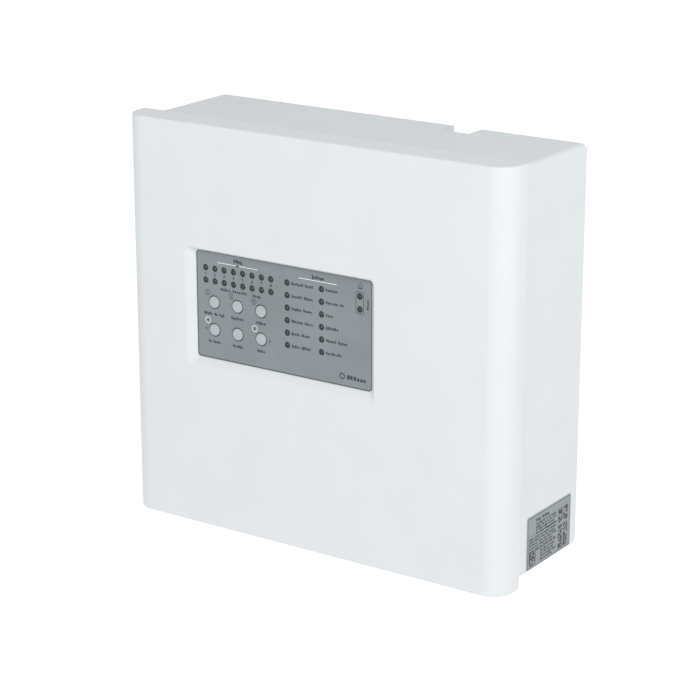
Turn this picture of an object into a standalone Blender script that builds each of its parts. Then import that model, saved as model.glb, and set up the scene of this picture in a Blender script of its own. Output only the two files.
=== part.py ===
"""Wall-mounted fire alarm control panel for eight zones, with a cover hinged on its left.

The constants are in millimetres and the scene is in metres. The back of the case lies on
the plane Y = 0, the front faces -Y and +Z is up. X = 0 and Z = 0 are the middle of the case.
"""

import math

import bmesh
import bpy
from mathutils import Vector
from mathutils.geometry import interpolate_bezier

MM = 0.001

# Case: a deep base that telescopes into a shallow cover.
CASE_W = 350.0
CASE_H = 328.0
CASE_D = 121.0
COVER_D = 27.0
COVER_WALL = 3.0
COVER_CORNER = 18.0
COVER_EDGE = 1.4
STEP_X = 4.5
STEP_Z = 4.0
OVERLAP = 10.0
BASE_WALL = 2.5
BACK_WALL = 3.0
BASE_EDGE = 5.0
GAP = 0.3

COVER_X = CASE_W / 2
COVER_Z = CASE_H / 2
FRONT = -CASE_D
RIM = FRONT + COVER_D
BASE_X = COVER_X - STEP_X
BASE_Z = COVER_Z - STEP_Z
BASE_FRONT = RIM - OVERLAP
PLATE_BACK = FRONT + COVER_WALL

# Hinge on the left, in the step behind the rim of the cover.
HINGE_X = -(BASE_X + 2.4)
HINGE_Y = RIM + 2.7
HINGE_Z = (95.0, -95.0)
KNUCKLE_R = 2.1
KNUCKLE_BORE = 1.15
PIN_R = 0.75
KNUCKLE_HALF = 4.7
KNUCKLE_END = 11.0

# Sunk window for the display, with sloped sides.
SINK = 4.0
WINDOW = (-108.2, 57.4, -23.8, 63.8)
WINDOW_OUTER = (-117.2, 61.4, -32.0, 65.6)
FLOOR = FRONT + SINK
FLOOR_BACK = FLOOR + COVER_WALL
OVERLAY = (-107.6, 56.8, -23.2, 63.2)
OVERLAY_T = 0.3
OVERLAY_FRONT = FLOOR - 0.2 - OVERLAY_T

# Indicators and keys on the display.
LED_R = 2.3
LED_HOLE = 2.7
ZONE_X = [-98.7 + 8.94 * i for i in range(8)]
ZONE_Z = (50.2, 40.1)
LIST_Z = [50.0 - 9.96 * i for i in range(6)]
FAULT_X = -20.9
STATUS_X = 11.0
LINK_X = 46.0
LINK_Z = (49.9, 39.7)
KEY_X = (-90.7, -68.3, -45.7)
KEY_Z = (23.0, 0.5)
KEY_R = 4.75
KEY_HOLE = 5.15
KEY_FLANGE = 5.8
KEY_TRAVEL = 0.8

# Display board behind the window.
GUIDE_Y = (FLOOR_BACK + GAP, FLOOR_BACK + GAP + 1.8)
DISPLAY = (-104.0, 53.0, -20.0, 60.0)
DISPLAY_Y = (FRONT + 11.0, FRONT + 12.6)
DISPLAY_SCREWS = ((-101.0, -15.0), (50.0, 56.0))
HEADER_Z = 20.0
HEADER_SPAN = (HEADER_Z - 15.0, HEADER_Z + 15.0)
HEADER_SLOT = (HEADER_Z - 13.4, HEADER_Z + 13.4)

# Boards on the back wall.
BOSS_TOP = -12.0
BOARD_Y = (BOSS_TOP - GAP - 1.6, BOSS_TOP - GAP)
BOARD_TOP = BOARD_Y[0] - GAP
MAIN_BOARD = (-150.0, 66.0, -38.0, 84.0)
POWER_BOARD = (84.0, 160.0, -38.0, 84.0)
MAIN_SCREWS = ((-144.0, 78.0), (60.0, 78.0), (-144.0, -32.0), (60.0, -32.0))
POWER_SCREWS = ((90.0, 78.0), (154.0, -32.0))
SCREW_R = 1.3
SCREW_HOLE = 1.75
TERMINAL_PITCH = 5.08

# Batteries on the floor of the case, 12 V and 7 Ah each.
BATTERY = (151.0, 65.0, 94.0)
BATTERY_X = (-78.0, 78.0)
BATTERY_Y = -(BACK_WALL + 1.0 + BATTERY[1] / 2)
BATTERY_FLOOR = -(BASE_Z - BASE_WALL) + GAP
BATTERY_TOP = BATTERY_FLOOR + BATTERY[2]
POLE_Y = BATTERY_Y - 22.0
POLE_H = 1.2
BRACKET_X = 161.0
BRACKET_Z = (-112.0, -92.0)
BRACKET_T = 1.2
BRACKET_FOOT = -8.3
FOOT_SCREWS = ((-164.4, -102.0), (164.4, -102.0))

# Cable recess at the top of the back.
RECESS_X = (54.5, 79.3)
RECESS_DEEP = 19.4
RECESS_FLOOR = BASE_Z - 20.0
GROMMET_X = sum(RECESS_X) / 2
GROMMET_Y = -11.0
PLUG = (-110.0, 112.0)
KEYHOLES = ((-135.0, 134.0), (135.0, 142.0))
LOWER_SLOTS = ((-60.0, -48.0), (60.0, -48.0))

# Clamp screws under the case.
CLAMP_X = (-110.0, 110.0)
CLAMP_Y = RIM - 5.0

# Mains parts at the upper right of the back wall.
MAINS_TERMINAL = (96.0, 126.0, 108.0, 124.0)
FUSE_HOLDER = (134.0, 158.0, 110.0, 124.0)
EARTH_STUD = (150.0, 98.0)

# Rating label on the right side.
LABEL_Y = (-76.4, -9.8)
LABEL_Z = (-156.8, -114.2)

AXES = {
    "X": lambda a, b, h: (h, a, b),
    "Y": lambda a, b, h: (a, h, b),
    "Z": lambda a, b, h: (a, b, h),
}


def clear_scene():
    """Remove the objects that the scene opens with."""
    for obj in list(bpy.data.objects):
        bpy.data.objects.remove(obj)


def material(name, colour, roughness, metallic=0.0, transmission=0.0):
    """Return a Principled material."""
    mat = bpy.data.materials.new(name)
    mat.use_nodes = True
    shader = mat.node_tree.nodes["Principled BSDF"]
    shader.inputs["Base Color"].default_value = (*colour, 1.0)
    shader.inputs["Roughness"].default_value = roughness
    shader.inputs["Metallic"].default_value = metallic
    shader.inputs["Transmission Weight"].default_value = transmission
    mat.diffuse_color = (*colour, 1.0)
    return mat


def circle(x, y, radius, sides=12):
    """Points of a regular polygon about (x, y)."""
    turns = [2 * math.pi / sides * i for i in range(sides)]
    return [(x + radius * math.cos(turn), y + radius * math.sin(turn)) for turn in turns]


def rounded(x0, x1, y0, y1, radii, steps=4):
    """Points of a rectangle with rounded corners, from (x1, y1) anticlockwise."""
    if not isinstance(radii, tuple):
        radii = (radii,) * 4
    corners = ((x1, y1, -1, -1), (x0, y1, 1, -1), (x0, y0, 1, 1), (x1, y0, -1, 1))
    points = []
    for quarter, ((x, y, sx, sy), radius) in enumerate(zip(corners, radii)):
        if not radius:
            points.append((x, y))
            continue
        for step in range(steps + 1):
            angle = math.pi / 2 * (quarter + step / steps)
            across = x + radius * (sx + math.cos(angle))
            points.append((across, y + radius * (sy + math.sin(angle))))
    return points


def prism(outline, low, high, axis="Y"):
    """Shell that runs an outline along an axis."""
    place = AXES[axis]
    return [[place(a, b, height) for a, b in outline] for height in (low, high)]


def box(x0, x1, y0, y1, z0, z1):
    """Shell of a plain block."""
    return prism([(x0, y0), (x1, y0), (x1, y1), (x0, y1)], z0, z1, "Z")


def turned(profile, centre, axis="Y", sides=12):
    """Shell turned about an axis through centre, from (radius, height) pairs."""
    place = AXES[axis]
    return [
        [place(a, b, height) for a, b in circle(*centre, radius, sides)]
        for radius, height in profile
    ]


def smooth_path(points, steps=5):
    """Points of a smooth curve through the given ones."""
    knots = [Vector(point) for point in points]
    headings = []
    for i, knot in enumerate(knots):
        back = (knot - knots[max(i - 1, 0)]).normalized()
        ahead = (knots[min(i + 1, len(knots) - 1)] - knot).normalized()
        headings.append((back + ahead).normalized())
    path = [knots[0]]
    for start, end, leave, arrive in zip(knots, knots[1:], headings, headings[1:]):
        reach = (end - start).length / 3
        handles = (start + leave * reach, end - arrive * reach)
        path += interpolate_bezier(start, *handles, end, steps + 1)[1:]
    return path


def tube(points, radius, sides=6):
    """Shell of a round lead along a line of points."""
    path = smooth_path(points)
    side = Vector((0.31, 0.11, 0.94))
    rings = []
    for i, point in enumerate(path):
        along = (path[min(i + 1, len(path) - 1)] - path[max(i - 1, 0)]).normalized()
        side = (side - along * side.dot(along)).normalized()
        up = along.cross(side)
        rings.append([point + side * a + up * b for a, b in circle(0.0, 0.0, radius, sides)])
    return rings


def mesh_of(name, shells):
    """Mesh of closed shells, each a list of rings."""
    bm = bmesh.new()
    for rings in shells:
        rows = [[bm.verts.new(point) for point in ring] for ring in rings]
        bm.faces.new(rows[0])
        bm.faces.new(rows[-1])
        for low, high in zip(rows, rows[1:]):
            for i in range(len(low)):
                j = (i + 1) % len(low)
                bm.faces.new((low[i], low[j], high[j], high[i]))
    bmesh.ops.recalc_face_normals(bm, faces=bm.faces)
    bmesh.ops.scale(bm, vec=(MM, MM, MM), verts=bm.verts)
    mesh = bpy.data.meshes.new(name)
    bm.to_mesh(mesh)
    bm.free()
    return mesh


def bake(obj):
    """Put the result of the modifiers into the mesh."""
    graph = bpy.context.evaluated_depsgraph_get()
    mesh = bpy.data.meshes.new_from_object(obj.evaluated_get(graph))
    obj.modifiers.clear()
    obj.data = mesh


def combine(obj, shells, operation):
    """Join shells to an object, or cut them out of it."""
    tool = bpy.data.objects.new("tool", mesh_of("tool", shells))
    bpy.context.scene.collection.objects.link(tool)
    modifier = obj.modifiers.new(operation.title(), "BOOLEAN")
    modifier.operation = operation
    modifier.solver = "EXACT"
    modifier.use_self = operation == "UNION"
    modifier.object = tool
    bake(obj)
    bpy.data.objects.remove(tool)


def bevel(obj, width, segments=2, angle=50.0):
    """Round the sharp edges of an object."""
    modifier = obj.modifiers.new("Bevel", "BEVEL")
    modifier.width = width * MM
    modifier.segments = segments
    modifier.limit_method = "ANGLE"
    modifier.angle_limit = math.radians(angle)
    bake(obj)


def finish(obj, mat, origin=(0.0, 0.0, 0.0), parent=None):
    """Give an object its material, origin, smooth shading and parent."""
    mesh = obj.data
    mesh.name = obj.name
    mesh.materials.clear()
    mesh.materials.append(mat)
    mesh.shade_smooth()
    mesh.set_sharp_from_angle(angle=math.radians(32.0))
    shift = [c * MM for c in origin]
    for vertex in mesh.vertices:
        vertex.co = [c - s for c, s in zip(vertex.co, shift)]
    obj.location = shift
    if parent:
        obj.parent = parent
        obj.location = [c - p for c, p in zip(shift, parent.location)]
    return obj


def part(name, shell, join=(), cut=(), edge=0.0):
    """Make a named solid from one shell, with others joined to it and cut from it."""
    obj = bpy.data.objects.new(name, mesh_of(name, [shell]))
    bpy.context.scene.collection.objects.link(obj)
    if edge:
        bevel(obj, edge)
    if join:
        combine(obj, join, "UNION")
    if cut:
        combine(obj, cut, "DIFFERENCE")
    return obj


# ---------------------------------------------------------------- case


def knuckle(z0, z1):
    """Round hinge knuckle between two heights."""
    return turned([(KNUCKLE_R, z0), (KNUCKLE_R, z1)], (HINGE_X, HINGE_Y), "Z", 16)


def hinge_bores():
    """Bores for both hinge pins."""
    axis = (HINGE_X, HINGE_Y)
    profiles = [[(KNUCKLE_BORE, z - 12.0), (KNUCKLE_BORE, z + 12.0)] for z in HINGE_Z]
    return [turned(profile, axis, "Z", 12) for profile in profiles]


def base_knuckles():
    """Knuckles of the base, two at each hinge, with webs to the left wall."""
    near = KNUCKLE_HALF + GAP
    web = (HINGE_X + 1.3, -BASE_X + 1.0, HINGE_Y - 1.2, HINGE_Y + 1.2)
    shells = []
    for z in HINGE_Z:
        for z0, z1 in ((z + near, z + KNUCKLE_END), (z - KNUCKLE_END, z - near)):
            shells.append(knuckle(z0, z1))
            shells.append(box(*web, z0 + 0.1, z1 - 0.1))
    return shells


def keyhole(x, z):
    """Cut for a hook-on wall screw: a wide hole with a slot above it."""
    outline = circle(x, z, 4.8, 16)
    slot = rounded(x - 2.4, x + 2.4, z - 1.0, z + 11.0, (2.3, 2.3, 0, 0))
    return prism(outline, -BACK_WALL - 1, 1), prism(slot, -BACK_WALL - 2, 2)


def base_bosses():
    """Bosses for the boards and the battery bracket."""
    tall = [(4.0, -1.5), (3.2, BOSS_TOP)]
    low = [(3.6, -1.5), (3.2, BRACKET_FOOT + GAP)]
    clamp = [(5.0, -BASE_Z + 1.0), (4.5, -BASE_Z + 12.0)]
    shells = [turned(tall, place) for place in (*MAIN_SCREWS, *POWER_SCREWS)]
    shells += [turned(low, place) for place in FOOT_SCREWS]
    shells += [turned(clamp, (x, CLAMP_Y), "Z", 16) for x in CLAMP_X]
    return shells


def base_bores():
    """Screw bores in the bosses."""
    tall = [(SCREW_HOLE, -1.0), (SCREW_HOLE, BOSS_TOP - 1)]
    low = [(SCREW_HOLE, -1.0), (SCREW_HOLE, BRACKET_FOOT - 1)]
    clamp = [(2.1, -BASE_Z - 1), (2.1, -BASE_Z + 11.0)]
    shells = [turned(tall, place) for place in (*MAIN_SCREWS, *POWER_SCREWS)]
    shells += [turned(low, place) for place in FOOT_SCREWS]
    shells += [turned(clamp, (x, CLAMP_Y), "Z") for x in CLAMP_X]
    return shells


def make_base(mat):
    """Deep base with its bosses, wall-fixing holes, cable recess and hinge knuckles."""
    outer = rounded(-BASE_X, BASE_X, -BASE_Z, BASE_Z, BASE_EDGE, 5)
    base = part("rear_base", prism(outer, BASE_FRONT, 0.0))
    inner_x = BASE_X - BASE_WALL
    inner_z = BASE_Z - BASE_WALL
    inner = rounded(-inner_x, inner_x, -inner_z, inner_z, BASE_EDGE - BASE_WALL, 3)
    combine(base, [prism(inner, BASE_FRONT - 5, -BACK_WALL)], "DIFFERENCE")
    left = RECESS_X[0] - BASE_WALL
    right = RECESS_X[1] + BASE_WALL
    deep = -RECESS_DEEP - BASE_WALL
    shells = [box(left, right, deep, -1.0, RECESS_FLOOR - BASE_WALL, BASE_Z - 1.0)]
    combine(base, [*shells, *base_bosses(), *base_knuckles()], "UNION")
    recess = box(*RECESS_X, -RECESS_DEEP, 5.0, RECESS_FLOOR, BASE_Z + 5.0)
    combine(base, [recess], "DIFFERENCE")
    cable_way = [(5.9, RECESS_FLOOR - 5), (5.9, RECESS_FLOOR + 2)]
    cuts = [turned(cable_way, (GROMMET_X, GROMMET_Y), "Z", 20)]
    cuts.append(turned([(10.0, -BACK_WALL - 1), (10.0, 1.0)], PLUG, "Y", 20))
    for x, z in LOWER_SLOTS:
        cuts.append(prism(rounded(x - 5.0, x + 5.0, z - 2.4, z + 2.4, 2.3), -BACK_WALL - 1, 1.0))
    combine(base, [*cuts, *base_bores(), *hinge_bores()], "DIFFERENCE")
    for place in KEYHOLES:
        for shell in keyhole(*place):
            combine(base, [shell], "DIFFERENCE")
    return finish(base, mat)


def cover_outline(inset):
    """Plan of the cover, rounded at its two front corners."""
    radius = COVER_CORNER - inset
    side = COVER_X - inset
    return rounded(-side, side, FRONT + inset, RIM, (0, 0, radius, radius), 8)


def window_cut():
    """Sunk window with sloped sides."""
    outer = rounded(*WINDOW_OUTER, 4.0, 3)
    inner = rounded(*WINDOW, 3.0, 3)
    place = AXES["Y"]
    heights = ((outer, FRONT - 2.0), (outer, FRONT), (inner, FLOOR))
    return [[place(a, b, height) for a, b in outline] for outline, height in heights]


def led_places():
    """Centres of the thirty indicators."""
    places = [(x, z) for z in ZONE_Z for x in ZONE_X]
    places += [(x, z) for x in (FAULT_X, STATUS_X) for z in LIST_Z]
    places += [(LINK_X, z) for z in LINK_Z]
    return places


def key_places():
    """Centres of the six keys."""
    return [(x, z) for z in KEY_Z for x in KEY_X]


def window_holes(low, high):
    """Holes for the indicators and keys between two depths."""
    led = [(LED_HOLE, low), (LED_HOLE, high)]
    key = [(KEY_HOLE, low), (KEY_HOLE, high)]
    shells = [turned(led, place, "Y", 8) for place in led_places()]
    shells += [turned(key, place, "Y", 16) for place in key_places()]
    return shells


def clamp_slots(x):
    """Slot and counterbore for a clamp screw, open at the rim of the cover."""
    rear = RIM + 3.0
    low = -COVER_Z - 1.0
    slot = rounded(x - 2.6, x + 2.6, CLAMP_Y - 2.6, rear, (0, 0, 2.5, 2.5))
    bore = rounded(x - 4.7, x + 4.7, CLAMP_Y - 4.7, rear + 1, (0, 0, 4.6, 4.6))
    return prism(slot, low, -COVER_Z + 5.0, "Z"), prism(bore, low - 1, -COVER_Z + 1.8, "Z")


def make_cover(mat, hinge):
    """Shallow cover with the sunk window, the hinge knuckles and the clamp slots."""
    outer = prism(cover_outline(0.0), -COVER_Z, COVER_Z, "Z")
    cover = part("front_cover", outer, edge=COVER_EDGE)
    inner = [(x, y + 5.0 if y > RIM - 1 else y) for x, y in cover_outline(COVER_WALL)]
    inner_z = COVER_Z - COVER_WALL
    combine(cover, [prism(inner, -inner_z, inner_z, "Z")], "DIFFERENCE")
    x0, x1, z0, z1 = WINDOW_OUTER
    joins = [box(x0 - 2.0, x1 + 3.0, PLATE_BACK - 1.0, FLOOR_BACK, z0 - 2.0, z1 + 3.0)]
    web = (-COVER_X + 0.3, HINGE_X + 0.5, RIM - 2.0, HINGE_Y - 0.8)
    for z in HINGE_Z:
        joins.append(knuckle(z - KNUCKLE_HALF, z + KNUCKLE_HALF))
        joins.append(box(*web, z - 4.5, z + 4.5))
    combine(cover, joins, "UNION")
    boss = [(3.4, FLOOR_BACK - 1.0), (3.0, DISPLAY_Y[0] - GAP)]
    combine(cover, [turned(boss, place) for place in DISPLAY_SCREWS], "UNION")
    combine(cover, [window_cut()], "DIFFERENCE")
    bore = [(SCREW_HOLE, FLOOR_BACK - 1.5), (SCREW_HOLE, DISPLAY_Y[0])]
    cuts = window_holes(FLOOR - 1.0, FLOOR_BACK + 1.0)
    cuts += [turned(bore, place) for place in DISPLAY_SCREWS]
    combine(cover, [*cuts, *hinge_bores()], "DIFFERENCE")
    for x in CLAMP_X:
        for shell in clamp_slots(x):
            combine(cover, [shell], "DIFFERENCE")
    return finish(cover, mat, (HINGE_X, HINGE_Y, 0.0), hinge)


def make_hinge_pins(mat):
    """Steel pins of the two hinges, headed at the top."""
    for name, z in zip(("hinge_pin_upper", "hinge_pin_lower"), HINGE_Z):
        profile = [(PIN_R, z - 12.2), (PIN_R, z + 11.4), (1.7, z + 11.4), (1.7, z + 12.4)]
        finish(part(name, turned(profile, (HINGE_X, HINGE_Y), "Z")), mat, (HINGE_X, HINGE_Y, z))


def make_clamp_screws(mat):
    """Cross-slotted screws that clamp the bottom lip of the cover."""
    head = -COVER_Z + 0.2
    under = head + 1.4
    cut = (head - 1, head + 0.9)
    profile = [(4.0, head), (4.2, head + 0.4), (4.2, under), (1.7, under), (1.7, -BASE_Z + 10.0)]
    for name, x in zip(("clamp_screw_left", "clamp_screw_right"), CLAMP_X):
        screw = part(name, turned(profile, (x, CLAMP_Y), "Z"))
        for a, b in ((2.2, 0.45), (0.45, 2.2)):
            slot = box(x - a, x + a, CLAMP_Y - b, CLAMP_Y + b, *cut)
            combine(screw, [slot], "DIFFERENCE")
        finish(screw, mat, (x, CLAMP_Y, head))


# ---------------------------------------------------------------- display


def make_overlay(mat, cover):
    """Printed display sheet with a hole at each indicator and key."""
    outline = rounded(*OVERLAY, 2.4, 3)
    sheet = part(
        "display_overlay",
        prism(outline, OVERLAY_FRONT, OVERLAY_FRONT + OVERLAY_T),
        cut=window_holes(OVERLAY_FRONT - 1, OVERLAY_FRONT + 1),
    )
    finish(sheet, mat, parent=cover)


def light_guide(name, places, mat, cover):
    """Bar of clear plastic with one round window pin at each place."""
    xs = [x for x, _ in places]
    zs = [z for _, z in places]
    tip = OVERLAY_FRONT
    pin = [(LED_R - 0.3, tip - 0.1), (LED_R, tip + 0.1), (LED_R, GUIDE_Y[0] + 0.5)]
    pins = [turned(pin, place, "Y", 8) for place in places]
    bar = rounded(min(xs) - 3.2, max(xs) + 3.2, min(zs) - 3.2, max(zs) + 3.2, 1.5, 2)
    finish(part(name, prism(bar, *GUIDE_Y), join=pins), mat, parent=cover)


def make_light_guides(mat, cover):
    """Five light guides behind the thirty windows."""
    light_guide("zone_light_guide_upper", [(x, ZONE_Z[0]) for x in ZONE_X], mat, cover)
    light_guide("zone_light_guide_lower", [(x, ZONE_Z[1]) for x in ZONE_X], mat, cover)
    light_guide("fault_light_guide", [(FAULT_X, z) for z in LIST_Z], mat, cover)
    light_guide("status_light_guide", [(STATUS_X, z) for z in LIST_Z], mat, cover)
    light_guide("link_light_guide", [(LINK_X, z) for z in LINK_Z], mat, cover)


def make_keys(mat, cover):
    """Six round push keys, each with a flange behind the window floor."""
    front = OVERLAY_FRONT - 1.0
    flange = FLOOR_BACK + GAP
    for number, (x, z) in enumerate(key_places(), 1):
        profile = [
            (KEY_R - 0.9, front),
            (KEY_R - 0.25, front + 0.25),
            (KEY_R, front + 0.9),
            (KEY_R, flange),
            (KEY_FLANGE, flange),
            (KEY_FLANGE, flange + 1.0),
        ]
        key = part(f"key_{number}", turned(profile, (x, z), "Y", 16))
        finish(key, mat, (x, front, z), cover)


def make_key_mat(mat, cover):
    """Silicone mat with a pad behind each key."""
    low = FLOOR_BACK + GAP + 1.0 + KEY_TRAVEL + 0.2
    back = DISPLAY_Y[0] - GAP
    sheet = rounded(KEY_X[0] - 9, KEY_X[2] + 9, KEY_Z[1] - 9, KEY_Z[0] + 9, 2.0, 2)
    pads = [turned([(3.6, low), (4.6, back - 0.3)], place, "Y", 12) for place in key_places()]
    finish(part("key_mat", prism(sheet, back - 0.7, back), join=pads), mat, parent=cover)


def board(name, area, depth, holes, mat, parent=None):
    """Circuit board with its screw holes."""
    outline = rounded(*area, 1.5, 1)
    bore = [(SCREW_HOLE, depth[0] - 1), (SCREW_HOLE, depth[1] + 1)]
    cuts = [turned(bore, hole) for hole in holes]
    return finish(part(name, prism(outline, *depth), cut=cuts), mat, parent=parent)


def pan_screw(name, place, seat, end, mat, parent=None):
    """Pan-head screw with a cross slot, its head at the seat and its tip at the end."""
    x, z = place
    side = 1 if end > seat else -1
    profile = [
        (1.9, seat - side * 2.1),
        (2.8, seat - side * 1.3),
        (2.8, seat),
        (SCREW_R, seat),
        (SCREW_R, end),
    ]
    depth = sorted((seat - side * 3.0, seat - side * 1.1))
    screw = part(name, turned(profile, place, "Y", 10))
    for a, b in ((1.5, 0.3), (0.3, 1.5)):
        combine(screw, [box(x - a, x + a, *depth, z - b, z + b)], "DIFFERENCE")
    finish(screw, mat, (x, seat, z), parent)


def make_display_parts(mats, cover):
    """Display board with its connector, buzzer and screws."""
    rear = DISPLAY_Y[1] + GAP
    board("display_board", DISPLAY, DISPLAY_Y, DISPLAY_SCREWS, mats["board"], cover)
    header = box(-99.0, -93.0, rear, rear + 6.6, *HEADER_SPAN)
    slot = box(-97.2, -94.8, rear + 2.0, rear + 9.0, *HEADER_SLOT)
    finish(part("display_header", header, cut=[slot]), mats["black"], parent=cover)
    profile = [(7.0, rear), (7.0, rear + 8.0), (6.5, rear + 8.5)]
    sound_hole = turned([(1.2, rear + 7.0), (1.2, rear + 10.0)], (35.0, -6.0))
    buzzer = part("buzzer", turned(profile, (35.0, -6.0), "Y", 20), cut=[sound_hole])
    finish(buzzer, mats["black"], parent=cover)
    for number, place in enumerate(DISPLAY_SCREWS, 1):
        pan_screw(f"display_screw_{number}", place, rear, FLOOR_BACK - 1.0, mats["steel"], cover)


# ---------------------------------------------------------------- boards and mains parts


def terminal_block(name, x, z, ways, mat):
    """Row of screw terminals with a wire entry above each screw."""
    top = BOARD_TOP - 11.0
    cuts = []
    for way in range(ways):
        centre = x + TERMINAL_PITCH * (way + 0.5)
        cuts.append(turned([(1.7, top - 1), (1.7, top + 3)], (centre, z + 4.5), "Y", 6))
        cuts.append(box(centre - 1.6, centre + 1.6, top + 5.5, BOARD_TOP - 1.6, z + 8.0, z + 14.0))
    block = box(x, x + TERMINAL_PITCH * ways, top, BOARD_TOP, z, z + 12.0)
    finish(part(name, block, cut=cuts), mat)


def make_processor(mat):
    """Square processor chip with a row of leads on each side."""
    low = BOARD_TOP
    rows = [
        box(-66.0, -54.0, low - 0.5, low, 12.0, 28.0),
        box(-68.0, -52.0, low - 0.5, low, 14.0, 26.0),
    ]
    chip = box(-67.0, -53.0, low - 1.6, low - 0.1, 13.0, 27.0)
    finish(part("processor", chip, join=rows), mat)


def make_main_board(mats):
    """Main board with its terminals, chip, relays and ribbon header."""
    board("main_board", MAIN_BOARD, BOARD_Y, MAIN_SCREWS, mats["board"])
    terminal_block("zone_terminals", -134.0, 68.0, 20, mats["terminal"])
    terminal_block("output_terminals", -24.0, 68.0, 15, mats["terminal"])
    make_processor(mats["black"])
    for number, x in enumerate((-16.0, 12.0), 1):
        body = box(x, x + 19.0, BOARD_TOP - 15.3, BOARD_TOP, 12.0, 27.5)
        finish(part(f"relay_{number}", body, edge=0.6), mats["relay"])
    low = BOARD_TOP - 8.0
    header = box(-135.0, -129.0, low, BOARD_TOP, *HEADER_SPAN)
    slot = box(-133.2, -130.8, low - 2.0, BOARD_TOP - 2.0, *HEADER_SLOT)
    finish(part("board_header", header, cut=[slot]), mats["black"])
    for number, place in enumerate(MAIN_SCREWS, 1):
        pan_screw(f"board_screw_{number}", place, BOARD_TOP, -2.0, mats["steel"])


def make_ribbon(mat):
    """Flat cable from the main board to the display board, beside the hinge."""
    points = [
        (-96.0, DISPLAY_Y[1] + 3.2),
        (-96.5, -93.0),
        (-106.0, -80.0),
        (-126.0, -66.0),
        (-136.0, -50.0),
        (-133.5, -34.0),
        (-132.0, BOARD_TOP - 3.0),
    ]
    path = smooth_path([(x, y, 0.0) for x, y in points])
    left = []
    right = []
    for i, point in enumerate(path):
        ahead = path[min(i + 1, len(path) - 1)]
        along = (ahead - path[max(i - 1, 0)]).normalized() * 0.45
        left.append((point.x - along.y, point.y + along.x))
        right.append((point.x + along.y, point.y - along.x))
    outline = left + right[::-1]
    cable = part("ribbon_cable", prism(outline, HEADER_Z - 12.7, HEADER_Z + 12.7, "Z"))
    finish(cable, mat)


def make_power_board(mats):
    """Power board with its transformer, capacitor and heatsink."""
    board("power_board", POWER_BOARD, BOARD_Y, POWER_SCREWS, mats["board"])
    low = BOARD_TOP - 26.0
    core = box(98.0, 130.0, low + 3.0, BOARD_TOP - 3.0, 2.0, 29.0)
    winding = box(101.0, 127.0, low, BOARD_TOP, 7.0, 24.0)
    transformer = part("power_transformer", core, join=[winding])
    finish(transformer, mats["copper"])
    top = BOARD_TOP - 32.0
    profile = [(9.0, BOARD_TOP), (9.0, top + 1.0), (8.3, top), (7.0, top)]
    finish(part("power_capacitor", turned(profile, (146.0, -8.0), "Y", 20)), mats["sleeve"])
    fin = (138.0, 156.0, BOARD_TOP - 27.0, BOARD_TOP)
    fins = [box(*fin, z, z + 1.4) for z in (34.0, 40.0, 46.0, 52.0, 58.0)]
    web = box(146.0, 148.0, BOARD_TOP - 27.5, BOARD_TOP, 33.5, 59.9)
    finish(part("power_heatsink", web, join=fins), mats["aluminium"])
    for number, place in enumerate(POWER_SCREWS, 1):
        pan_screw(f"power_screw_{number}", place, BOARD_TOP, -2.0, mats["steel"])


def make_mains_parts(mats):
    """Mains terminal, fuse holder and earth stud on the back wall."""
    seat = -BACK_WALL - GAP
    x0, x1, z0, z1 = MAINS_TERMINAL
    cuts = []
    for way in range(3):
        x = x0 + 5.0 + 10.0 * way
        cuts.append(turned([(2.4, seat - 20.0), (2.4, seat - 14.0)], (x, 116.0), "Y", 10))
        cuts.append(box(x - 2.5, x + 2.5, seat - 12.0, seat - 6.0, z1 - 5.0, z1 + 1.0))
        cuts.append(box(x - 2.5, x + 2.5, seat - 12.0, seat - 6.0, z0 - 1.0, z0 + 5.0))
    block = box(x0, x1, seat - 18.0, seat, z0, z1)
    finish(part("mains_terminal", block, cut=cuts), mats["terminal"])
    x0, x1, z0, z1 = FUSE_HOLDER
    cap = turned([(5.0, x0 - 3.0), (5.0, x0 + 2.0)], (seat - 8.5, (z0 + z1) / 2), "X", 16)
    holder = part("fuse_holder", box(x0, x1, seat - 16.0, seat, z0, z1), join=[cap], edge=0.5)
    finish(holder, mats["black"])
    profile = [
        (2.0, seat),
        (2.0, seat - 0.3),
        (4.2, seat - 0.3),
        (4.2, seat - 3.5),
        (2.0, seat - 3.5),
        (2.0, seat - 14.0),
    ]
    finish(part("earth_stud", turned(profile, EARTH_STUD, "Y", 6)), mats["brass"])


# ---------------------------------------------------------------- batteries and leads


def make_batteries(mat):
    """Two sealed batteries with a lid line and two round poles each."""
    half_w = BATTERY[0] / 2
    half_d = BATTERY[1] / 2
    front = BATTERY_Y - half_d
    rear = BATTERY_Y + half_d
    pole = [(4.5, BATTERY_TOP - 1.0), (4.0, BATTERY_TOP + POLE_H)]
    for name, x in zip(("battery_left", "battery_right"), BATTERY_X):
        case = box(x - half_w, x + half_w, front, rear, BATTERY_FLOOR, BATTERY_TOP - 2.0)
        sides = (x - half_w + 1.5, x + half_w - 1.5, front + 1.5, rear - 1.5)
        lid = box(*sides, BATTERY_TOP - 3.0, BATTERY_TOP)
        poles = [turned(pole, (x + side * 67.0, POLE_Y), "Z") for side in (-1, 1)]
        obj = part(name, case, join=[lid], edge=1.0)
        combine(obj, poles, "UNION")
        finish(obj, mat)


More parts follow.
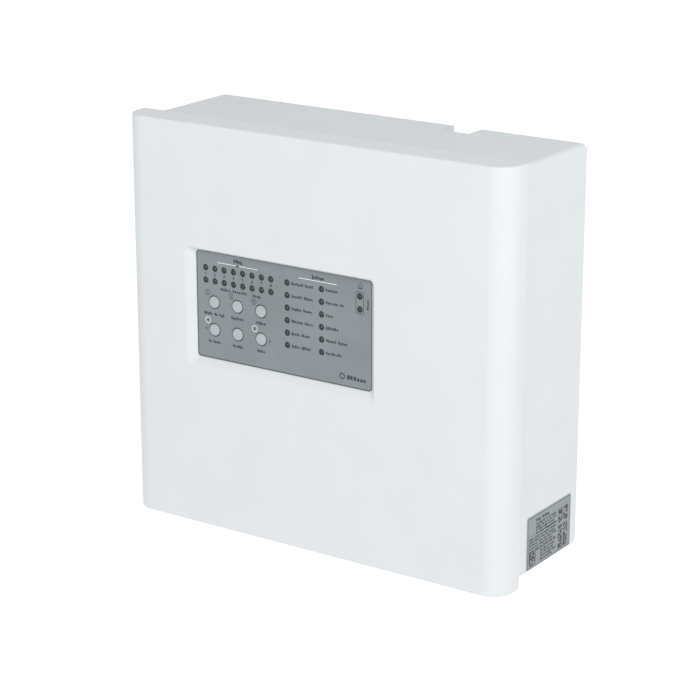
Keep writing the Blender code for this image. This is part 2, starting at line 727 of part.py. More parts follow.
def make_bracket(mats):
    """Steel strap across both batteries, with a screwed foot at each end."""
    bar = BATTERY_Y - BATTERY[1] / 2 - 0.8
    half = [
        (BRACKET_X, bar - BRACKET_T),
        (BRACKET_X, BRACKET_FOOT - BRACKET_T),
        (BRACKET_X + 6.6, BRACKET_FOOT - BRACKET_T),
        (BRACKET_X + 6.6, BRACKET_FOOT),
        (BRACKET_X - BRACKET_T, BRACKET_FOOT),
        (BRACKET_X - BRACKET_T, bar),
    ]
    outline = half + [(-x, y) for x, y in half[::-1]]
    bore = [(SCREW_HOLE, BRACKET_FOOT - 3), (SCREW_HOLE, BRACKET_FOOT + 1)]
    holes = [turned(bore, place) for place in FOOT_SCREWS]
    strap = part("battery_bracket", prism(outline, *BRACKET_Z, "Z"), cut=holes)
    finish(strap, mats["steel"])
    seat = BRACKET_FOOT - BRACKET_T - GAP
    for number, place in enumerate(FOOT_SCREWS, 1):
        pan_screw(f"bracket_screw_{number}", place, seat, -1.4, mats["steel"])


def boot(x):
    """Connector boot that stands on a battery pole."""
    low = BATTERY_TOP + POLE_H + GAP
    return box(x - 3.5, x + 3.5, POLE_Y - 3.0, POLE_Y + 3.0, low, low + 12.0)


def make_battery_leads(mats):
    """Red, black and link leads with their boots."""
    top = BATTERY_TOP + POLE_H + GAP + 11.0
    plus = BATTERY_X[0] - 67.0
    minus = BATTERY_X[1] + 67.0
    inner = BATTERY_X[1] - 67.0
    drop = BOARD_TOP - 1.8
    red = [
        (plus, POLE_Y, top),
        (plus + 1.0, POLE_Y + 1.0, top + 6.0),
        (-128.0, -44.0, -37.0),
        (-108.0, drop - 4.0, -31.0),
        (-98.0, drop, -26.0),
    ]
    black = [
        (minus, POLE_Y, top),
        (minus - 1.0, POLE_Y + 1.0, top + 6.0),
        (110.0, -50.0, -41.0),
        (68.0, -34.0, -44.0),
        (46.0, drop - 4.0, -32.0),
        (38.0, drop, -24.0),
    ]
    link = [
        (-inner, POLE_Y, top),
        (-inner + 1.0, POLE_Y, top + 5.0),
        (0.0, POLE_Y - 1.0, top + 11.0),
        (inner - 1.0, POLE_Y, top + 5.0),
        (inner, POLE_Y, top),
    ]
    finish(part("battery_lead_red", boot(plus), join=[tube(red, 1.4)]), mats["red"])
    finish(part("battery_lead_black", boot(minus), join=[tube(black, 1.4)]), mats["black"])
    link_lead = part("battery_link_lead", tube(link, 1.4), join=[boot(-inner), boot(inner)])
    finish(link_lead, mats["blue"])


def make_supply_leads(mats):
    """Mains, earth and low-voltage leads between the boards and terminals."""
    drop = BOARD_TOP - 1.8
    low = MAINS_TERMINAL[2]
    first = MAINS_TERMINAL[0] + 5.0
    live = [
        (first + 10.0, -12.0, low - 0.4),
        (first + 10.5, -13.0, low - 8.0),
        (115.0, drop - 2.0, 88.0),
        (116.0, drop, 74.0),
    ]
    neutral = [
        (first, -12.0, low - 0.4),
        (first + 0.5, -13.0, low - 8.0),
        (103.0, drop - 2.0, 88.0),
        (104.0, drop, 74.0),
    ]
    earth = [
        (first + 20.0, -12.0, low - 0.4),
        (first + 21.0, -13.0, low - 5.0),
        (132.0, -14.0, 98.5),
        (EARTH_STUD[0] - 5.0, -13.0, EARTH_STUD[1] + 0.5),
    ]
    supply = [
        (96.0, drop, -20.0),
        (88.0, drop - 3.0, -19.0),
        (75.0, drop - 6.0, -16.0),
        (62.0, drop - 3.0, -13.0),
        (52.0, drop, -12.0),
    ]
    names = ("mains_lead_live", "mains_lead_neutral", "earth_lead", "supply_lead")
    looks = (mats["brown"], mats["blue"], mats["green"], mats["black"])
    for name, line, look in zip(names, (live, neutral, earth, supply), looks):
        finish(part(name, tube(line, 1.3)), look)


# ---------------------------------------------------------------- small parts


def make_grommet(mat):
    """Rubber grommet in the floor of the cable recess."""
    under = RECESS_FLOOR - BASE_WALL - GAP
    over = RECESS_FLOOR + GAP
    profile = [
        (7.4, under - 1.6),
        (7.4, under),
        (5.5, under),
        (5.5, over),
        (7.4, over),
        (6.8, over + 1.8),
    ]
    centre = (GROMMET_X, GROMMET_Y)
    bore = turned([(3.5, under - 5), (3.5, over + 5)], centre, "Z", 16)
    ring = part("cable_grommet", turned(profile, centre, "Z", 20), cut=[bore])
    finish(ring, mat)


def make_plug(mat):
    """Blanking plug in the rear cable entry."""
    inside = -BACK_WALL - GAP
    profile = [(9.6, -0.4), (9.6, inside), (12.0, inside), (11.4, inside - 1.6)]
    finish(part("rear_entry_plug", turned(profile, PLUG, "Y", 20)), mat)


def make_label(mat):
    """Printed rating label on the right side of the base."""
    outline = rounded(*LABEL_Y, *LABEL_Z, 1.5, 2)
    finish(part("rating_label", prism(outline, BASE_X + 0.2, BASE_X + 0.4, "X")), mat)


def materials():
    """All the materials of the panel."""
    return {
        "case": material("case_plastic", (0.80, 0.83, 0.86), 0.38),
        "cover": material("cover_plastic", (0.83, 0.86, 0.88), 0.34),
        "overlay": material("overlay_film", (0.30, 0.33, 0.36), 0.35),
        "window": material("indicator_window", (0.05, 0.05, 0.05), 0.20),
        "key": material("key_plastic", (0.40, 0.44, 0.45), 0.45),
        "silicone": material("silicone", (0.55, 0.56, 0.55), 0.60),
        "board": material("board_green", (0.02, 0.12, 0.05), 0.40),
        "black": material("black_plastic", (0.02, 0.02, 0.02), 0.50),
        "terminal": material("terminal_green", (0.03, 0.25, 0.10), 0.45),
        "relay": material("relay_blue", (0.04, 0.10, 0.30), 0.40),
        "ribbon": material("ribbon_grey", (0.35, 0.36, 0.38), 0.50),
        "copper": material("winding_yellow", (0.45, 0.30, 0.05), 0.45),
        "sleeve": material("capacitor_sleeve", (0.03, 0.03, 0.08), 0.35),
        "aluminium": material("aluminium", (0.70, 0.71, 0.72), 0.35, 1.0),
        "steel": material("zinc_steel", (0.60, 0.61, 0.62), 0.30, 1.0),
        "brass": material("brass", (0.70, 0.50, 0.20), 0.30, 1.0),
        "battery": material("battery_case", (0.10, 0.10, 0.11), 0.45),
        "red": material("lead_red", (0.45, 0.02, 0.02), 0.40),
        "brown": material("lead_brown", (0.16, 0.06, 0.02), 0.40),
        "blue": material("lead_blue", (0.02, 0.08, 0.35), 0.40),
        "green": material("lead_earth", (0.10, 0.35, 0.05), 0.40),
        "rubber": material("rubber", (0.03, 0.03, 0.03), 0.75),
        "label": material("label_grey", (0.30, 0.34, 0.34), 0.40),
    }


def main():
    """Build the whole panel."""
    clear_scene()
    mats = materials()
    hinge = bpy.data.objects.new("cover_hinge", None)
    bpy.context.scene.collection.objects.link(hinge)
    hinge.location = (HINGE_X * MM, HINGE_Y * MM, 0.0)
    make_base(mats["case"])
    cover = make_cover(mats["cover"], hinge)
    cover.location = (0.0, 0.0, 0.0)
    make_hinge_pins(mats["steel"])
    make_clamp_screws(mats["steel"])
    make_overlay(mats["overlay"], hinge)
    make_light_guides(mats["window"], hinge)
    make_keys(mats["key"], hinge)
    make_key_mat(mats["silicone"], hinge)
    make_display_parts(mats, hinge)
    make_main_board(mats)
    make_ribbon(mats["ribbon"])
    make_power_board(mats)
    make_mains_parts(mats)
    make_batteries(mats["battery"])
    make_bracket(mats)
    make_battery_leads(mats)
    make_supply_leads(mats)
    make_grommet(mats["rubber"])
    make_plug(mats["rubber"])
    make_label(mats["label"])


main()
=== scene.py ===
"""Fire alarm control panel: detailed pieces, materials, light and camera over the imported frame.

Sizes are in millimetres unless a name says otherwise, and the frame is in metres. The front
of the panel faces -Y, +Z is up, and the back of the case lies on the plane Y = 0.
"""

import math
import random

import bmesh
import bpy
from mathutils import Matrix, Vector
from mathutils.geometry import interpolate_bezier


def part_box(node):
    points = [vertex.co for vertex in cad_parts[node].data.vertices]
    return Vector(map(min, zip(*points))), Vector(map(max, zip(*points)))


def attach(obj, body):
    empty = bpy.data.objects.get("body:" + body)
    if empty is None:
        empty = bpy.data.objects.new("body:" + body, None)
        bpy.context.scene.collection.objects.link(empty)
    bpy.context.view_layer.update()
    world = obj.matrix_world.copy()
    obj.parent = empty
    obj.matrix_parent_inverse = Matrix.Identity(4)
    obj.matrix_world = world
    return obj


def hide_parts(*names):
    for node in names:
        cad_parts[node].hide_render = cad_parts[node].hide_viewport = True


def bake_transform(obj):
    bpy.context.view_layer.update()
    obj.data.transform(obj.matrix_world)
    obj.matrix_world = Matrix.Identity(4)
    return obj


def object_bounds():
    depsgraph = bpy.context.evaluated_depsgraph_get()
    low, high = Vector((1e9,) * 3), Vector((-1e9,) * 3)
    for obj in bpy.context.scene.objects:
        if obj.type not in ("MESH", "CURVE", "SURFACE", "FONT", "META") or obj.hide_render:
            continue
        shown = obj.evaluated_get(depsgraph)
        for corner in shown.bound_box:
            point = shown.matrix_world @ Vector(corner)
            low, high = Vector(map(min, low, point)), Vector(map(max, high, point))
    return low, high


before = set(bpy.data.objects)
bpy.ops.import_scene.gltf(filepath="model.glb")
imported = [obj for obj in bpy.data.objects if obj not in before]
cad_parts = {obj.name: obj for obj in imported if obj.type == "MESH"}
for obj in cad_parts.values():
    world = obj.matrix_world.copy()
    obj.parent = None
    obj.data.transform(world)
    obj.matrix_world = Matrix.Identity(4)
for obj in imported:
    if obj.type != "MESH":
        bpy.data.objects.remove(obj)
cad_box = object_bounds()

MM = 0.001
GAP = 0.3

# Camera at the photographed side of the panel, in metres and degrees, its lens in millimetres.
CAMERA_AZIMUTH = 34.11
CAMERA_ELEVATION = 17.5
CAMERA_DISTANCE = 1.813
CAMERA_LENS = 118.8
CAMERA_TARGET = (-0.0018, -0.06, -0.0154)

# Stage, in metres and watts.
STAGE_HALF = 6.0
STAGE_GAP = 0.0004
STAGE_GLOW = 0.84
LIGHT_PLACE = (1.68, -1.68, 2.0)
LIGHT_SIZE = (1.0, 1.6)
LIGHT_POWER = 50.0

# Edges that meet at more than this angle, in degrees, are shaded sharp.
SHARP_ANGLE = 32.0

# Case and cover.
COVER_X = 175.0
COVER_Z = 164.0
FRONT = -121.0
RIM = -94.0
COVER_WALL = 3.0
COVER_CORNER = 18.0
COVER_EDGE = 1.6
BASE_X = 170.5
BASE_Z = 160.0
BASE_FRONT = -104.0
BASE_WALL = 2.5
BACK_WALL = 3.0
BASE_EDGE = 5.0

# Hinge.
HINGE_X = -172.9
HINGE_Y = -91.3
HINGE = (HINGE_X, HINGE_Y)
HINGE_Z = (95.0, -95.0)
KNUCKLE_R = 2.1
KNUCKLE_BORE = 1.15
KNUCKLE_HALF = 4.7
KNUCKLE_END = 11.0
PIN_REACH = 12.0

# Sunk window.
SINK = 4.0
FLOOR = FRONT + SINK
FLOOR_BACK = FLOOR + COVER_WALL
WINDOW = (-108.2, 57.4, -23.8, 63.8)
WINDOW_OUTER = (-117.2, 61.4, -32.0, 65.6)
FILM = (-107.6, 56.8, -23.2, 63.2)
FILM_T = 0.3
FILM_FRONT = FLOOR - 0.2 - FILM_T
PRINT_T = 0.03

# Indicators and keys.
LED_R = 2.3
LED_HOLE = 2.6
ZONE_X = [-98.7 + 8.94 * i for i in range(8)]
ZONE_Z = (50.2, 40.1)
LIST_Z = [50.0 - 9.96 * i for i in range(6)]
FAULT_X = -20.9
STATUS_X = 11.0
LINK_X = 46.0
LINK_Z = (49.9, 39.7)
KEY_X = (-90.7, -68.3, -45.7)
KEY_Z = (23.0, 0.5)
KEY_R = 4.75
KEY_HOLE = 5.5
KEY_FLANGE = 5.8
GUIDE_Y = (FLOOR_BACK + GAP, FLOOR_BACK + GAP + 1.8)

# Boards.
BOSS_TOP = -12.0
BOARD_FACE = -13.9
BOARD_TOP = -14.2
DISPLAY_FRONT = FRONT + 11.0
DISPLAY_REAR = FRONT + 12.6
DISPLAY_SCREWS = ((-101.0, -15.0), (50.0, 56.0))
MAIN_SCREWS = ((-144.0, 78.0), (60.0, 78.0), (-144.0, -32.0), (60.0, -32.0))
POWER_SCREWS = ((90.0, 78.0), (154.0, -32.0))
FOOT_SCREWS = ((-164.4, -102.0), (164.4, -102.0))
BRACKET_FOOT = -8.3
SCREW_HOLE = 1.75
TERMINAL_PITCH = 5.08

# Openings of the case.
RECESS_X = (54.5, 79.3)
RECESS_DEEP = 19.4
RECESS_FLOOR = BASE_Z - 20.0
GROMMET = (sum(RECESS_X) / 2, -11.0)
PLUG = (-110.0, 112.0)
KEYHOLES = ((-135.0, 134.0), (135.0, 142.0))
LOWER_SLOTS = ((-60.0, -48.0), (60.0, -48.0))
CLAMP_X = (-110.0, 110.0)
CLAMP_Y = RIM - 5.0
EARTH_STUD = (150.0, 98.0)

AXES = {
    "X": lambda a, b, h: (h, a, b),
    "Y": lambda a, b, h: (a, h, b),
    "Z": lambda a, b, h: (a, b, h),
}


# ---------------------------------------------------------------- shapes


def circle(x, y, radius, sides=24):
    """Points of a regular polygon about (x, y)."""
    turns = [2 * math.pi / sides * i for i in range(sides)]
    return [(x + radius * math.cos(turn), y + radius * math.sin(turn)) for turn in turns]


def rounded(x0, x1, y0, y1, radii=0, steps=6):
    """Points of a rectangle with rounded corners, from (x1, y1) anticlockwise."""
    if not isinstance(radii, tuple):
        radii = (radii,) * 4
    corners = ((x1, y1, -1, -1), (x0, y1, 1, -1), (x0, y0, 1, 1), (x1, y0, -1, 1))
    points = []
    for quarter, ((x, y, sx, sy), radius) in enumerate(zip(corners, radii)):
        if not radius:
            points.append((x, y))
            continue
        for step in range(steps + 1):
            angle = math.pi / 2 * (quarter + step / steps)
            across = x + radius * (sx + math.cos(angle))
            points.append((across, y + radius * (sy + math.sin(angle))))
    return points


def around(x, y, half_x, half_y, radius=0, steps=6):
    """Points of a rounded rectangle centred on (x, y)."""
    return rounded(x - half_x, x + half_x, y - half_y, y + half_y, radius, steps)


def inside(bounds, inset, radius, steps):
    """Points of a rounded rectangle inset from (x0, x1, y0, y1)."""
    x0, x1, y0, y1 = bounds
    return rounded(x0 + inset, x1 - inset, y0 + inset, y1 - inset, radius, steps)


def prism(outline, low, high, axis="Y"):
    """Shell that runs an outline along an axis."""
    place = AXES[axis]
    return [[place(a, b, height) for a, b in outline] for height in (low, high)]


def box(x0, x1, y0, y1, z0, z1):
    """Shell of a block."""
    return prism([(x0, y0), (x1, y0), (x1, y1), (x0, y1)], z0, z1, "Z")


def block(x, z, half_x, half_z, y0, y1):
    """Shell of a block centred on (x, z)."""
    return box(x - half_x, x + half_x, y0, y1, z - half_z, z + half_z)


def from_level(level, *pairs):
    """Profile of (radius, height) pairs, with the heights counted from a level."""
    return [(radius, level + height) for radius, height in pairs]


def turned(profile, centre, axis="Y", sides=24):
    """Shell turned about an axis through centre, from (radius, height) pairs."""
    place = AXES[axis]
    return [
        [place(a, b, height) for a, b in circle(*centre, radius, sides)]
        for radius, height in profile
    ]


def rod(radius, low, high, centre, axis="Y", sides=24):
    """Shell of a plain round rod along an axis."""
    return turned([(radius, low), (radius, high)], centre, axis, sides)


def band(outer, inner, low, high, axis="Y"):
    """Shells that fill the band between two matching outlines."""
    shells = []
    for i in range(len(outer)):
        j = (i + 1) % len(outer)
        shells.append(prism([outer[i], outer[j], inner[j], inner[i]], low, high, axis))
    return shells


def smooth_path(points, steps=10):
    """Points of a smooth curve through the given ones."""
    knots = [Vector(point) for point in points]
    headings = []
    for i, knot in enumerate(knots):
        back = (knot - knots[max(i - 1, 0)]).normalized()
        ahead = (knots[min(i + 1, len(knots) - 1)] - knot).normalized()
        headings.append((back + ahead).normalized())
    path = [knots[0]]
    for start, end, leave, arrive in zip(knots, knots[1:], headings, headings[1:]):
        reach = (end - start).length / 3
        handles = (start + leave * reach, end - arrive * reach)
        path += interpolate_bezier(start, *handles, end, steps + 1)[1:]
    return path


def heading(path, i):
    """Direction of a path at one of its points."""
    return (path[min(i + 1, len(path) - 1)] - path[max(i - 1, 0)]).normalized()


def tube(points, radius, sides=14):
    """Shell of a round lead along a line of points."""
    path = smooth_path(points)
    side = Vector((0.31, 0.11, 0.94))
    rings = []
    for i, point in enumerate(path):
        along = heading(path, i)
        side = (side - along * side.dot(along)).normalized()
        up = along.cross(side)
        rings.append([point + side * a + up * b for a, b in circle(0.0, 0.0, radius, sides)])
    return rings


def add_object(name, data):
    """New object in the scene."""
    obj = bpy.data.objects.new(name, data)
    bpy.context.scene.collection.objects.link(obj)
    return obj


def mesh_of(name, shells):
    """Mesh of closed shells, each a list of rings."""
    bm = bmesh.new()
    for rings in shells:
        rows = [[bm.verts.new(point) for point in ring] for ring in rings]
        bm.faces.new(rows[0])
        bm.faces.new(rows[-1])
        for low, high in zip(rows, rows[1:]):
            for i in range(len(low)):
                j = (i + 1) % len(low)
                bm.faces.new((low[i], low[j], high[j], high[i]))
    bmesh.ops.recalc_face_normals(bm, faces=bm.faces)
    bmesh.ops.scale(bm, vec=(MM, MM, MM), verts=bm.verts)
    mesh = bpy.data.meshes.new(name)
    bm.to_mesh(mesh)
    bm.free()
    return mesh


def finished_mesh(obj):
    """Mesh of an object as it looks with its modifiers."""
    graph = bpy.context.evaluated_depsgraph_get()
    return bpy.data.meshes.new_from_object(obj.evaluated_get(graph))


def bake(obj):
    """Put the result of the modifiers into the mesh."""
    mesh = finished_mesh(obj)
    obj.modifiers.clear()
    obj.data = mesh


def combine(obj, shells, operation):
    """Join shells to an object, or cut them out of it."""
    tool = add_object("tool", mesh_of("tool", shells))
    modifier = obj.modifiers.new(operation.title(), "BOOLEAN")
    modifier.operation = operation
    modifier.solver = "EXACT"
    modifier.use_self = operation == "UNION"
    modifier.object = tool
    bake(obj)
    bpy.data.objects.remove(tool)


def bevel(obj, width, segments=3, angle=40.0):
    """Round the sharp edges of an object."""
    modifier = obj.modifiers.new("Bevel", "BEVEL")
    modifier.width = width * MM
    modifier.segments = segments
    modifier.limit_method = "ANGLE"
    modifier.angle_limit = math.radians(angle)
    bake(obj)


def solid(name, shells, cut=(), edge=0.0):
    """Object from closed shells, with rounded edges and with groups of shells cut from it."""
    obj = add_object(name, mesh_of(name, shells))
    if edge:
        bevel(obj, edge)
    for group in cut:
        combine(obj, group, "DIFFERENCE")
    return obj


def piece(obj, look, body="case", node=None):
    """Give an object its look, shading and body, and the CAD node that it stands for."""
    obj.data.materials.clear()
    obj.data.materials.append(LOOKS[look])
    obj.data.shade_smooth()
    obj.data.set_sharp_from_angle(angle=math.radians(SHARP_ANGLE))
    obj.modifiers.new("Normals", "WEIGHTED_NORMAL").keep_sharp = True
    bake(obj)
    obj.data.name = obj.name
    if body:
        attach(obj, body)
    if node:
        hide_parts(node)


def detail(name, shells, look, body="case", node=None, cut=(), edge=0.0):
    """Piece made straight from closed shells."""
    piece(solid(name, shells, cut, edge), look, body, node)


def span(node):
    """Lowest and highest corner of a CAD node, in millimetres."""
    return [[c / MM for c in corner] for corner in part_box(node)]


def carry(nodes, look):
    """Give CAD nodes that stay in view a finished material."""
    for node in nodes:
        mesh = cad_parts[node].data
        mesh.materials.clear()
        mesh.materials.append(LOOKS[look])


# ---------------------------------------------------------------- materials


def new_material(name, **sockets):
    """Principled material, with its node tree and shader."""
    mat = bpy.data.materials.new(name)
    mat.use_nodes = True
    shader = mat.node_tree.nodes["Principled BSDF"]
    for socket, value in sockets.items():
        shader.inputs[socket.replace("_", " ")].default_value = value
    return mat, mat.node_tree, shader


def add_node(tree, kind, source=None, **sockets):
    """Shader node with its values, and a source linked to its first socket."""
    node = tree.nodes.new(f"ShaderNode{kind}")
    for socket, value in sockets.items():
        node.inputs[socket.replace("_", " ")].default_value = value
    if source is not None:
        tree.links.new(source, node.inputs[0])
    return node


def place_by_object(tree, stretch=(1.0, 1.0, 1.0)):
    """Object coordinates, stretched."""
    coords = add_node(tree, "TexCoord").outputs["Object"]
    return add_node(tree, "Mapping", coords, Scale=stretch).outputs["Vector"]


def noise(tree, vector, scale, fine=2.0, rough=0.5):
    """Noise texture, scale in cells for each metre."""
    node = add_node(tree, "TexNoise", vector, Scale=scale, Detail=fine, Roughness=rough)
    return node.outputs["Fac"]


def ramp(tree, factor, stops):
    """Colour ramp over (position, colour) stops."""
    node = add_node(tree, "ValToRGB", factor)
    elements = node.color_ramp.elements
    while len(elements) < len(stops):
        elements.new(0.5)
    for element, (position, colour) in zip(elements, stops):
        element.position = position
        element.color = (*colour, 1.0)
    return node.outputs["Color"]


def paint(tree, shader, factor, stops):
    """Base colour from a ramp over stops."""
    tree.links.new(ramp(tree, factor, stops), shader.inputs["Base Color"])


def remap(tree, factor, low, high, start=0.3, end=0.7):
    """Factor between start and end, spread over low to high."""
    edges = {"From_Min": start, "From_Max": end, "To_Min": low, "To_Max": high}
    return add_node(tree, "MapRange", factor, **edges).outputs["Result"]


def bump(tree, shader, height, depth):
    """Bump of a depth in millimetres."""
    node = add_node(tree, "Bump", Distance=depth * MM, Strength=1.0)
    tree.links.new(height, node.inputs["Height"])
    tree.links.new(node.outputs["Normal"], shader.inputs["Normal"])


def mix(tree, factor, first, second, mode="MIX"):
    """Blend of two colours; each may be a socket or plain values."""
    node = add_node(tree, "Mix")
    node.data_type = "RGBA"
    node.blend_type = mode
    for socket, value in (("Factor", factor), ("A", first), ("B", second)):
        target = [i for i in node.inputs if i.name == socket and i.enabled][0]
        if isinstance(value, bpy.types.NodeSocket):
            tree.links.new(value, target)
        else:
            target.default_value = value if socket == "Factor" else (*value, 1.0)
    return [o for o in node.outputs if o.enabled][0]


def shade(colour, amount):
    """Colour made lighter or darker by a share."""
    return tuple(min(c * (1.0 + amount), 1.0) for c in colour)


def grained(name, colour, roughness, grain=1500.0, depth=0.02, vary=0.03, patch=25.0,
            stretch=(1.0, 1.0, 1.0), **sockets):
    """Material with a fine grain, and slight patches of tone and gloss."""
    mat, tree, shader = new_material(name, Roughness=roughness, **sockets)
    vector = place_by_object(tree, stretch)
    patches = noise(tree, place_by_object(tree), patch, 3.0)
    paint(tree, shader, patches, [(0.35, shade(colour, -vary)), (0.65, shade(colour, vary))])
    gloss = remap(tree, patches, roughness - 0.04, roughness + 0.05)
    tree.links.new(gloss, shader.inputs["Roughness"])
    bump(tree, shader, noise(tree, vector, grain, 3.0, 0.6), depth)
    mat.diffuse_color = (*colour, 1.0)
    return mat


def circuit_board(name):
    """Green solder mask over copper tracks, with tinned pads."""
    mat, tree, shader = new_material(name, Roughness=0.32, Coat_Weight=0.35, Coat_Roughness=0.2)
    vector = place_by_object(tree)
    upright = add_node(tree, "Mapping", vector, Rotation=(math.pi / 2, 0.0, 0.0))
    plane = upright.outputs["Vector"]
    tracks = add_node(tree, "Math")
    tracks.operation = "MAXIMUM"
    for target, (scale, width, height) in zip(tracks.inputs, ((60.0, 0.9, 0.16), (95.0, 0.3, 1.1))):
        line = {"Mortar_Size": 0.035, "Mortar_Smooth": 0.4}
        brick = add_node(tree, "TexBrick", plane, Scale=scale, Brick_Width=width, Row_Height=height, **line)
        tree.links.new(brick.outputs["Fac"], target)
    vias = add_node(tree, "TexVoronoi", plane, Scale=190.0)
    pads = remap(tree, vias.outputs["Distance"], 1.0, 0.0, 0.10, 0.14)
    mask = mix(tree, tracks.outputs[0], (0.012, 0.085, 0.035), (0.03, 0.19, 0.07))
    cloudy = mix(tree, noise(tree, vector, 30.0), (0.8, 0.8, 0.8), (1.0, 1.0, 1.0))
    green = mix(tree, 1.0, mask, cloudy, "MULTIPLY")
    tree.links.new(mix(tree, pads, green, (0.55, 0.56, 0.55)), shader.inputs["Base Color"])
    bump(tree, shader, tracks.outputs[0], 0.05)
    return mat


def brushed(name, colour, roughness, stretch):
    """Metal brushed along the axis that is stretched least."""
    metal = {"Metallic": 1.0, "Anisotropic": 0.35}
    return grained(name, colour, roughness, 700.0, 0.015, 0.10, 60.0, stretch, **metal)


def waves(tree, scale, direction, distortion=0.0):
    """Regular bands across a direction."""
    node = add_node(tree, "TexWave", place_by_object(tree), Scale=scale, Distortion=distortion)
    node.bands_direction = direction
    return node.outputs["Fac"]


def laminated(name, colour, pitch, axis):
    """Layered material, such as wound tape, with lines across one axis."""
    mat, tree, shader = new_material(name, Roughness=0.42)
    layers = waves(tree, 0.314 / (pitch * MM), axis, 0.6)
    paint(tree, shader, layers, [(0.2, shade(colour, -0.3)), (0.8, shade(colour, 0.1))])
    bump(tree, shader, layers, 0.06)
    return mat


def striped(name, first, second):
    """Insulation of two colours, in stripes."""
    mat, tree, shader = new_material(name, Roughness=0.38)
    paint(tree, shader, waves(tree, 60.0, "DIAGONAL"), [(0.55, first), (0.62, second)])
    bump(tree, shader, noise(tree, place_by_object(tree), 900.0), 0.02)
    return mat


LOOKS = {
    "case": grained("base_white", (0.655, 0.685, 0.698), 0.50, 1700.0, 0.025, 0.012,
                    Specular_IOR_Level=0.28),
    "cover": grained("cover_white", (0.665, 0.694, 0.711), 0.34, 2200.0, 0.012, 0.010),
    "film": grained("printed_film", (0.204, 0.232, 0.249), 0.36, 3000.0, 0.010, 0.05, 30.0),
    # Painted shade: a near-black band laid where the gap round the display sheet is in shadow.
    "film_gap_shade": grained("film_gap_shade", (0.045, 0.050, 0.055), 0.45, 3000.0, 0.01),
    "ink_dark": grained("dark_ink", (0.030, 0.036, 0.045), 0.50, 5000.0, 0.004, 0.15, 400.0),
    "ink_white": grained("white_ink", (0.85, 0.87, 0.88), 0.50, 5000.0, 0.004, 0.03, 400.0),
    "lens": grained("smoked_lens", (0.022, 0.026, 0.030), 0.16, 900.0, 0.01, 0.15),
    "core": grained("diode_dome", (0.075, 0.082, 0.09), 0.34, 1500.0, 0.01, 0.10),
    "key": grained("key_cap", (0.400, 0.432, 0.452), 0.38, 2400.0, 0.012, 0.02, 90.0),
    "silicone": grained("silicone", (0.52, 0.54, 0.53), 0.62, 1200.0, 0.03, 0.04),
    "board": circuit_board("circuit_board"),
    "black": grained("black_moulding", (0.022, 0.023, 0.025), 0.46, 1500.0, 0.03, 0.15),
    "terminal": grained("terminal_green", (0.025, 0.22, 0.085), 0.44, 1500.0, 0.02, 0.06),
    "relay": grained("relay_blue", (0.035, 0.095, 0.29), 0.36, 1500.0, 0.02, 0.06),
    "ribbon": grained("ribbon_grey", (0.36, 0.37, 0.39), 0.48, 1500.0, 0.01, 0.04),
    "tape": laminated("winding_tape", (0.52, 0.36, 0.05), 1.1, "Y"),
    "ferrite": grained("ferrite", (0.045, 0.044, 0.046), 0.60, 1100.0, 0.05, 0.2),
    "sleeve": grained("shrunk_sleeve", (0.02, 0.022, 0.06), 0.24, 500.0, 0.03, 0.12),
    "aluminium": brushed("brushed_aluminium", (0.76, 0.77, 0.78), 0.34, (1.0, 0.05, 1.0)),
    "steel": brushed("zinc_plate", (0.66, 0.67, 0.68), 0.32, (0.06, 1.0, 1.0)),
    "tin": grained("tinned_metal", (0.70, 0.70, 0.69), 0.36, 1500.0, 0.03, 0.08, Metallic=1.0),
    "brass": brushed("brass", (0.72, 0.52, 0.22), 0.30, (1.0, 0.2, 1.0)),
    "battery": grained("battery_case", (0.075, 0.078, 0.085), 0.48, 1300.0, 0.05, 0.08),
    "battery_label": grained("battery_label", (0.62, 0.64, 0.66), 0.40, 2500.0, 0.01, 0.03),
    "ceramic": grained("resistor_body", (0.04, 0.04, 0.045), 0.40, 2500.0, 0.01, 0.1),
    "red": grained("red_insulation", (0.46, 0.018, 0.015), 0.38, 900.0, 0.02, 0.06),
    "brown": grained("brown_insulation", (0.15, 0.055, 0.02), 0.38, 900.0, 0.02, 0.06),
    "blue": grained("blue_insulation", (0.02, 0.075, 0.34), 0.38, 900.0, 0.02, 0.06),
    "wire_black": grained("black_insulation", (0.02, 0.02, 0.022), 0.38, 900.0, 0.02, 0.1),
    # Black rubber for the grommet and the rear plug, also used as painted shade in the gaps round the keys.
    "rubber": grained("rubber", (0.028, 0.028, 0.030), 0.72, 1000.0, 0.05, 0.15),
    "label": grained("label_film", (0.232, 0.262, 0.274), 0.36, 2500.0, 0.01, 0.03),
    "earth": striped("earth_insulation", (0.06, 0.30, 0.05), (0.62, 0.55, 0.04)),
}


# ---------------------------------------------------------------- case and cover


def knuckle(z0, z1):
    """Round hinge knuckle between two heights."""
    return rod(KNUCKLE_R, z0, z1, HINGE, "Z", 28)


def hinge_bores():
    """Bores for both hinge pins."""
    return [rod(KNUCKLE_BORE, z - PIN_REACH, z + PIN_REACH, HINGE, "Z", 20) for z in HINGE_Z]


def at_fixings(tall, low, clamp):
    """Profiles turned at the board screws, the bracket screws and the clamp screws."""
    shells = [turned(tall, place) for place in (*MAIN_SCREWS, *POWER_SCREWS)]
    shells += [turned(low, place) for place in FOOT_SCREWS]
    shells += [turned(clamp, (x, CLAMP_Y), "Z") for x in CLAMP_X]
    return shells


